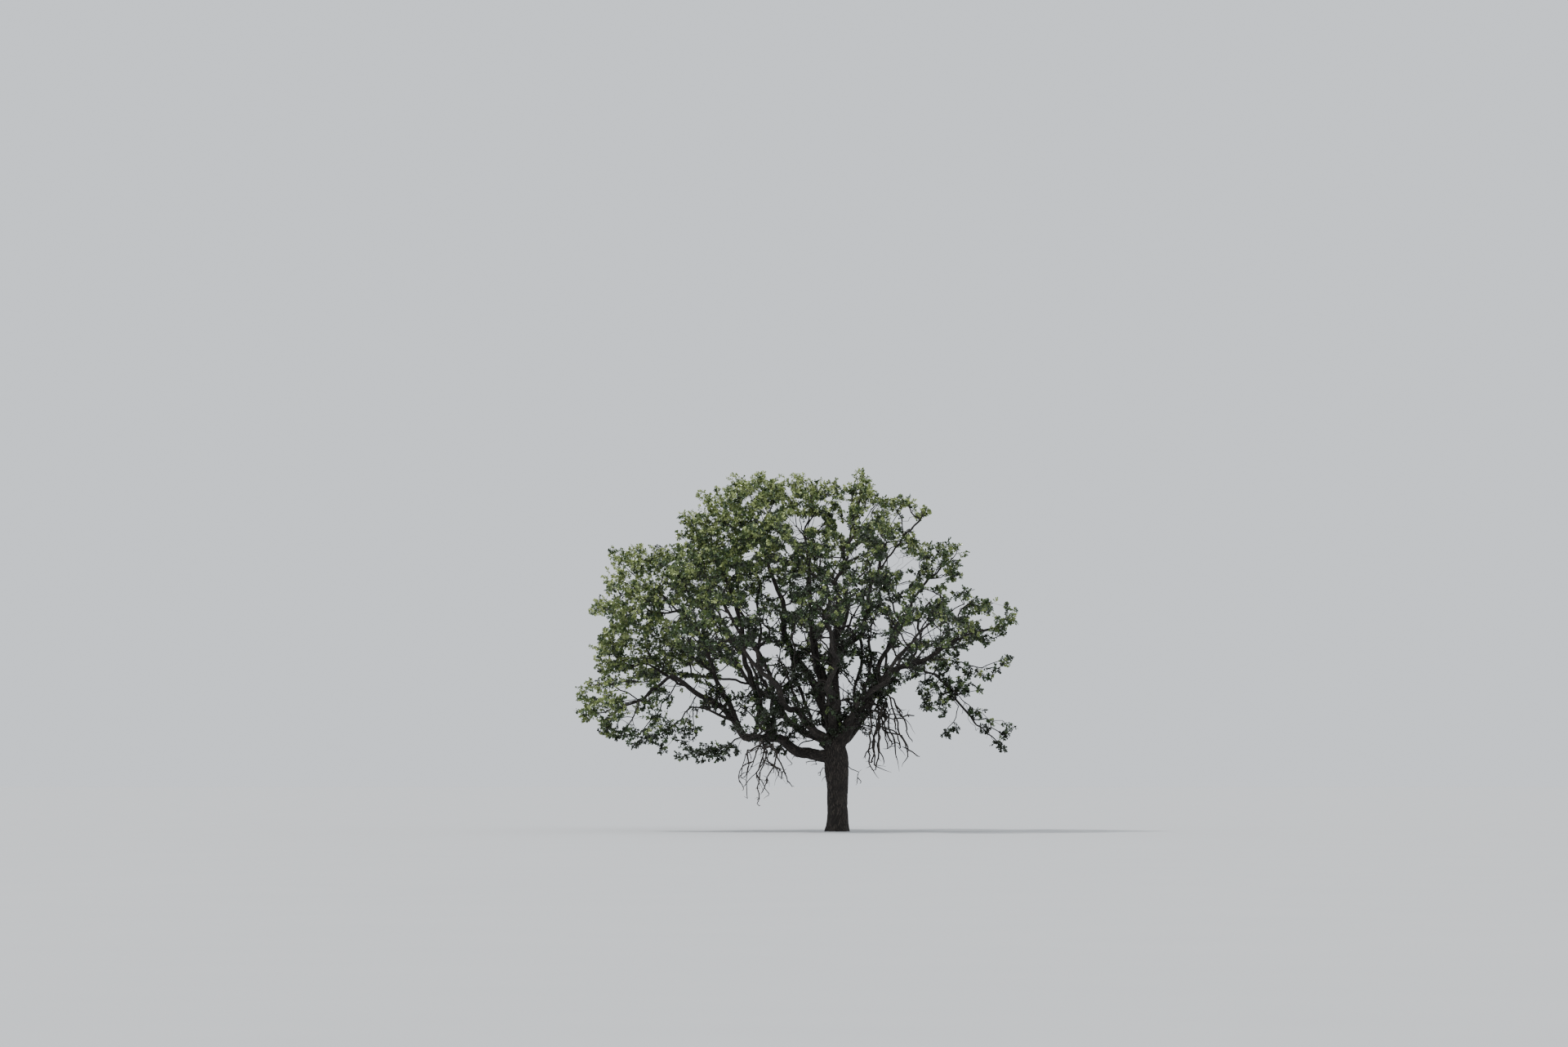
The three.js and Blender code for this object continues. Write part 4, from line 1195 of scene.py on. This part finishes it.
def meshFrom(name, places, corners, sizes):
    mesh = bpy.data.meshes.new(name)
    mesh.vertices.add(len(places))
    mesh.vertices.foreach_set("co", np.asarray(places, np.float32).ravel())
    mesh.loops.add(len(corners))
    mesh.loops.foreach_set("vertex_index", np.asarray(corners, np.int32))
    mesh.polygons.add(len(sizes))
    starts = np.concatenate([[0], np.cumsum(sizes)[:-1]])
    mesh.polygons.foreach_set("loop_start", starts.astype(np.int32))
    mesh.update(calc_edges=True)
    mesh.validate()
    piece = bpy.data.objects.new(name, mesh)
    bpy.context.collection.objects.link(piece)
    print(name, "ready:", int(sum(np.asarray(sizes) - 2)), "triangles")
    return piece


def woodPieces(groups):
    # groups: name of the piece -> rows of (points, radii, sides)
    pieces = {}
    for name, rows in groups.items():
        places, corners, sizes, offset = [], [], [], 0
        for points, radii, sides in rows:
            shape, quads, caps = tubeShape(points, radii, sides)
            places.append(shape)
            corners.append((quads + offset).ravel())
            sizes.append(np.full(len(quads), 4))
            for cap in caps:
                corners.append(cap + offset)
                sizes.append([sides])
            offset += len(shape)
        pieces[name] = meshFrom(name, np.vstack(places), np.concatenate(corners), np.concatenate(sizes))
    return pieces


def woodRowsOf(forks, random):
    loads = forkLoads(forks)
    total = max(1, loads[0], *(loads[i] for i, parent in enumerate(forks["parent"]) if parent < 0))
    thickness = forks["stem"]["radius"] * wood["stemThickness"].get(forks["stem"].get("name"), 1)
    widest = wood["deadWidest"] if forks["stem"]["dead"] else thickness
    for row in twigRows(forks, loads):
        finest = growth["finestRadius"] * (wood["deadFinest"] if forks["stem"]["dead"] else 1)
        radii = np.clip(thickness * (loads[row] / total) ** wood["power"], finest, widest)
        if forks["parent"][row[0]] >= 0:
            radii[0] = min(radii[1], wood["sideShare"] * radii[0])
        elif row[0] > 0 or forks["stem"].get("start") is None:
            radii[0] = radii[1]
        radii[-1] = growth["finestRadius"] * wood["tipShare"]
        thick = radii.max() > wood["thick"]
        points, widths = bentTwig([forks["place"][i] for i in row], radii, random, thick)
        kind = "limb" if radii.max() > wood["limbRadius"] else "branch" if thick else "twig"
        yield points, widths, wood["sides"][kind]


strays = growStrays()
woodRandom = np.random.default_rng(wood["seed"])
groups = {"branch_wood": [], "twig_wood": [], "dead_twig_wood": []}
for forks in trees + innerTrees + strays:
    for row in woodRowsOf(forks, woodRandom):
        liveKind = "branch_wood" if row[2] > wood["sides"]["twig"] else "twig_wood"
        groups["dead_twig_wood" if forks["stem"]["dead"] else liveKind].append(row)
woods = woodPieces(groups)


# Leaves: one lobed oak leaf, folded a little at its midrib, dealt out in sprays round the twig ends.
leaf = {
    "outline": [  # share of the way along, half width, lift, from the base round one side to the tip
        (0.36, 0.27, 0.07), (0.5, 0.15, 0.03), (0.76, 0.34, 0.08),
    ],
    "tipDrop": -0.08,
    "length": (0.064, 0.102),
    "perSpray": (9, 13),
    "longestSpray": 0.3,
    "sprayShare": 0.7,  # of a twig's last stretch that bears leaves
    "opening": (25, 60, 12),  # degrees from the twig: of the first leaf, more at the last, scatter
    "droop": (0, 0, -0.12),
    "facing": (0.55, 0.45, 0.55),  # how much a leaf faces up, outwards, and anywhere
    "scatter": 1.05,  # of a spray's tint
    "outerPull": 2.4,  # how much lighter the sprays are towards the outside, as painted light
    "lowShade": (1.3, 3.1, 0.4),  # how much darker the lowest sprays are, below this height, fading over this
    "boxRoom": 0.02,  # no leaf goes further past the CAD box than this share of it
    "shadeHeart": (-0.3, -1, 4.6),  # middle and half sizes of the space where the sprays are darkest
    "shadeHalf": (6, 8, 5),
    "sunPull": (-0.06, 0.07, 0.16),  # lighter for each metre to the right, back and up
    "sunReach": (1, 6, 11),  # as far as this
    "seed": 12,
}
# name of a tint: (colour, share of the sprays), from the shaded heart of the crown to its sunlit outside; the
# dealing paints shade and light into the leaf colours
leafTints = {
    "leaves_shade": ("#222c1a", 0.24),
    "leaves_green": ("#364928", 0.24),
    "leaves_olive": ("#576837", 0.21),
    "leaves_moss": ("#7b884f", 0.18),
    "leaves_lime": ("#9aa66a", 0.13),
}


def modelLeaf():
    bpy.ops.mesh.primitive_circle_add(vertices=8, radius=0.5, fill_type="NGON", location=(0, 0, 0))
    blade = bpy.context.object
    one = [(0, 0, 0)] + leaf["outline"] + [(1, 0, leaf["tipDrop"])]
    other = [(x, -y, z) for x, y, z in reversed(leaf["outline"])]
    for vertex, place in zip(blade.data.vertices, one + other):
        vertex.co = place
    bpy.ops.object.mode_set(mode="EDIT")
    bpy.ops.mesh.select_all(action="DESELECT")
    bpy.ops.object.mode_set(mode="OBJECT")
    for index in (0, 4):
        blade.data.vertices[index].select = True
    bpy.ops.object.mode_set(mode="EDIT")
    bpy.ops.mesh.select_mode(type="VERT")
    bpy.ops.mesh.vert_connect()
    bpy.ops.object.mode_set(mode="OBJECT")
    places = meshPlaces(blade.data)
    faces = [list(face.vertices) for face in blade.data.polygons]
    bpy.data.objects.remove(blade)
    return places, faces


def sprays():
    ends, headings, lengths, outwards = [], [], [], []
    for forks in trees + innerTrees:
        for index in forks["ends"]:
            if not forks["leafy"].get(index):
                continue
            end, start = forks["place"][index], forks["place"][forks["parent"][index]]
            ends.append(end)
            headings.append(unit(end - start))
            lengths.append(min(leaf["longestSpray"], np.linalg.norm(end - start)))
            outwards.append(unit(end - forks["stem"]["middle"]))
    return (np.array(rows) for rows in (ends, headings, lengths, outwards))


def makeLeaves():
    random = np.random.default_rng(leaf["seed"])
    ends, headings, lengths, outwards = sprays()
    # painted shade and light: a spray's tint ranks darker near the shaded heart and low down, and lighter
    # outwards, up, back and to the left, with a random scatter
    away = np.linalg.norm((ends - leaf["shadeHeart"]) / leaf["shadeHalf"], axis=1)
    score = leaf["scatter"] * random.normal(size=len(ends)) + leaf["outerPull"] * away
    score += np.minimum(ends, leaf["sunReach"]) @ leaf["sunPull"]
    darker, height, fade = leaf["lowShade"]
    score -= darker * np.clip((height - ends[:, 2]) / fade, 0, 1)
    ranks = score.argsort().argsort() / len(ends)
    shares = np.cumsum([share for colour, share in leafTints.values()])
    tints = np.minimum(np.searchsorted(shares, ranks), len(leafTints) - 1)
    counts = random.integers(*leaf["perSpray"], endpoint=True, size=len(ends))
    owner = np.repeat(np.arange(len(ends)), counts)
    rank = np.concatenate([np.arange(count) for count in counts]) / counts[owner]
    heading = headings[owner]
    side = unit(np.cross(heading, random.normal(size=(len(owner), 3))))
    first, more, scatter = leaf["opening"]
    opening = np.radians(first + more * rank + random.normal(size=len(owner)) * scatter)[:, None]
    direction = unit(heading * np.cos(opening) + side * np.sin(opening) + leaf["droop"])
    base = ends[owner] - heading * (lengths[owner] * leaf["sprayShare"] * rank)[:, None]
    up, out, anywhere = leaf["facing"]
    normal = (0, 0, up) + out * outwards[owner] + anywhere * random.normal(size=(len(owner), 3))
    normal = unit(normal - direction * (normal * direction).sum(1)[:, None])
    across = np.cross(normal, direction)
    length = random.uniform(*leaf["length"], len(owner))[:, None, None]
    shape, faces = modelLeaf()
    places = base[:, None] + length * sum(
        shape[:, axis, None] * vectors[:, None] for axis, vectors in enumerate((direction, across, normal))
    )
    low, high = (np.array(corner) for corner in cadBox)
    room = leaf["boxRoom"] * (high - low)
    inside = ((places > low - room) & (places < high + room)).all(axis=(1, 2))
    pieces = {}
    for number, name in enumerate(leafTints):
        chosen = places[inside & (tints[owner] == number)]
        offsets = (np.arange(len(chosen)) * len(shape))[:, None]
        corners = (offsets + np.concatenate(faces)).ravel()
        sizes = np.tile([len(face) for face in faces], len(chosen))
        pieces[name] = meshFrom(name, chosen.reshape(-1, 3), corners, sizes)
    return pieces


leaves = makeLeaves()


# Finishes.
barkLook = {  # the rise of a layer is its share of the height that the bump reads
    "stretch": (1, 1, 0.3),  # coarser along a limb than round it
    "fibres": {"Scale": 60.0, "Detail": 6.0, "Roughness": 0.65},  # 17 mm apart
    "fibreBend": 0.012,  # how far they bend the cracks
    "flakes": 42.0,  # 24 mm wide, 80 mm long
    "flakeEdge": 0.16,
    "flakeRise": 0.35,
    "plateRise": 0.75,
    "rampSpan": {"From Min": 0.4, "From Max": 1.75},
    "ramp": [(0.1, "#0f0d0b"), (0.62, "#2a2521"), (1, "#514943")],  # from furrow to plate
    "patches": {"Scale": 3.5, "Detail": 3.0},
    "lichen": "#403d33",
    "lichenSpan": {"From Min": 0.56, "From Max": 0.74, "To Max": 0.35},
    "bump": {"Strength": 0.8, "Distance": 0.009},
    "roughness": 0.92,
}


def barkFinish():
    # oak bark: corky grey-brown plates, near black furrows, finer cracks across the plates, no gloss
    material, tree = newMaterial("furrowedOakBark", "#3a342f")
    furrow = addNode(tree, "ShaderNodeAttribute", {"attribute_name": "furrow"})
    grain = addNode(tree, "ShaderNodeAttribute", {"attribute_name": "grain"})
    stretched = addNode(
        tree, "ShaderNodeMapping", {"Scale": barkLook["stretch"]}, {"Vector": grain.outputs["Vector"]},
    )
    fibre = addNode(
        tree, "ShaderNodeTexNoise", barkLook["fibres"], {"Vector": stretched.outputs["Vector"]},
    )
    bent = addNode(
        tree, "ShaderNodeMixRGB", {"blend_type": "ADD", "Fac": barkLook["fibreBend"]},
        {1: stretched.outputs["Vector"], 2: fibre.outputs["Color"]},
    )
    cracks = addNode(
        tree, "ShaderNodeTexVoronoi", {"feature": "DISTANCE_TO_EDGE", "Scale": barkLook["flakes"]},
        {"Vector": bent.outputs["Color"]},
    )
    flake = addNode(
        tree, "ShaderNodeMapRange", {"From Max": barkLook["flakeEdge"]},
        {"Value": cracks.outputs["Distance"]},
    )
    corky = addNode(
        tree, "ShaderNodeMath", {"operation": "MULTIPLY_ADD", 1: barkLook["flakeRise"]},
        {0: flake.outputs["Result"], 2: fibre.outputs["Fac"]},
    )
    height = addNode(
        tree, "ShaderNodeMath", {"operation": "MULTIPLY_ADD", 1: barkLook["plateRise"]},
        {0: furrow.outputs["Fac"], 2: corky.outputs["Value"]},
    )
    spread = addNode(tree, "ShaderNodeMapRange", barkLook["rampSpan"], {"Value": height.outputs["Value"]})
    ramp = addNode(tree, "ShaderNodeValToRGB", links={"Fac": spread.outputs["Result"]})
    ramp.color_ramp.elements.new(barkLook["ramp"][1][0])
    for stop, (place, colour) in zip(ramp.color_ramp.elements, barkLook["ramp"]):
        stop.position = place
        stop.color = fromHex(colour)
    coordinates = addNode(tree, "ShaderNodeTexCoord")
    patches = addNode(
        tree, "ShaderNodeTexNoise", barkLook["patches"], {"Vector": coordinates.outputs["Object"]},
    )
    lichen = addNode(
        tree, "ShaderNodeMapRange", barkLook["lichenSpan"], {"Value": patches.outputs["Fac"]},
    )
    mixed = addNode(
        tree, "ShaderNodeMix", {"data_type": "RGBA", 7: fromHex(barkLook["lichen"])},
        {"Factor": lichen.outputs["Result"], 6: ramp.outputs["Color"]},
    )
    bump = addNode(tree, "ShaderNodeBump", barkLook["bump"], {"Height": height.outputs["Value"]})
    finish = addNode(
        tree, "ShaderNodeBsdfPrincipled", {"Roughness": barkLook["roughness"]},
        {"Base Color": mixed.outputs[2], "Normal": bump.outputs["Normal"]},
    )
    addNode(tree, "ShaderNodeOutputMaterial", links={"Surface": finish.outputs["BSDF"]})
    return material


twigLook = {"mottle": {"Scale": 9.0, "Detail": 4.0}, "darkest": 0.35, "lightest": 0.7}


def twigFinish(name, dark, light, roughness):
    # young or dead bark: smooth and thin, mottled, dull
    material, tree = newMaterial(name, light)
    coordinates = addNode(tree, "ShaderNodeTexCoord")
    mottle = addNode(
        tree, "ShaderNodeTexNoise", twigLook["mottle"], {"Vector": coordinates.outputs["Object"]},
    )
    ramp = addNode(tree, "ShaderNodeValToRGB", links={"Fac": mottle.outputs["Fac"]})
    stops = ((twigLook["darkest"], dark), (twigLook["lightest"], light))
    for stop, (place, colour) in zip(ramp.color_ramp.elements, stops):
        stop.position = place
        stop.color = fromHex(colour)
    finish = addNode(
        tree, "ShaderNodeBsdfPrincipled", {"Roughness": roughness}, {"Base Color": ramp.outputs["Color"]},
    )
    addNode(tree, "ShaderNodeOutputMaterial", links={"Surface": finish.outputs["BSDF"]})
    return material


waxLook = {"Roughness": 0.5, "Specular IOR Level": 0.3, "Coat Weight": 0.4, "Coat Roughness": 0.1}


def leafFinish(name, colour):
    # leathery oak leaf with a waxy skin: a plain colour for each tint, and a clear glint off the wax
    material, tree = newMaterial(name, colour)
    finish = addNode(tree, "ShaderNodeBsdfPrincipled", {"Base Color": fromHex(colour), **waxLook})
    addNode(tree, "ShaderNodeOutputMaterial", links={"Surface": finish.outputs["BSDF"]})
    return material


def dress(piece, material, nodes):
    piece.data.materials.clear()
    piece.data.materials.append(material)
    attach(piece, "root")
    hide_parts(*nodes)


limbNodes = ["trunk"] + [name + "_bough" for name in boughRows]
massNodes = [name + "_mass" for name in massRows]
dress(barkSkin, barkFinish(), limbNodes)
dress(woods["branch_wood"], twigFinish("youngOakBark", "#181411", "#2c2621", 0.85), massNodes)
dress(woods["twig_wood"], twigFinish("oakTwigBark", "#1f1a15", "#352d25", 0.8), massNodes)
deadFinish = twigFinish("weatheredDeadWood", "#1d1916", "#38312a", 0.9)
dress(woods["dead_twig_wood"], deadFinish, list(deadRows))
for name, (colour, share) in leafTints.items():
    dress(leaves[name], leafFinish(name + "Wax", colour), massNodes)
print("finishes ready")

bpy.context.view_layer.update()
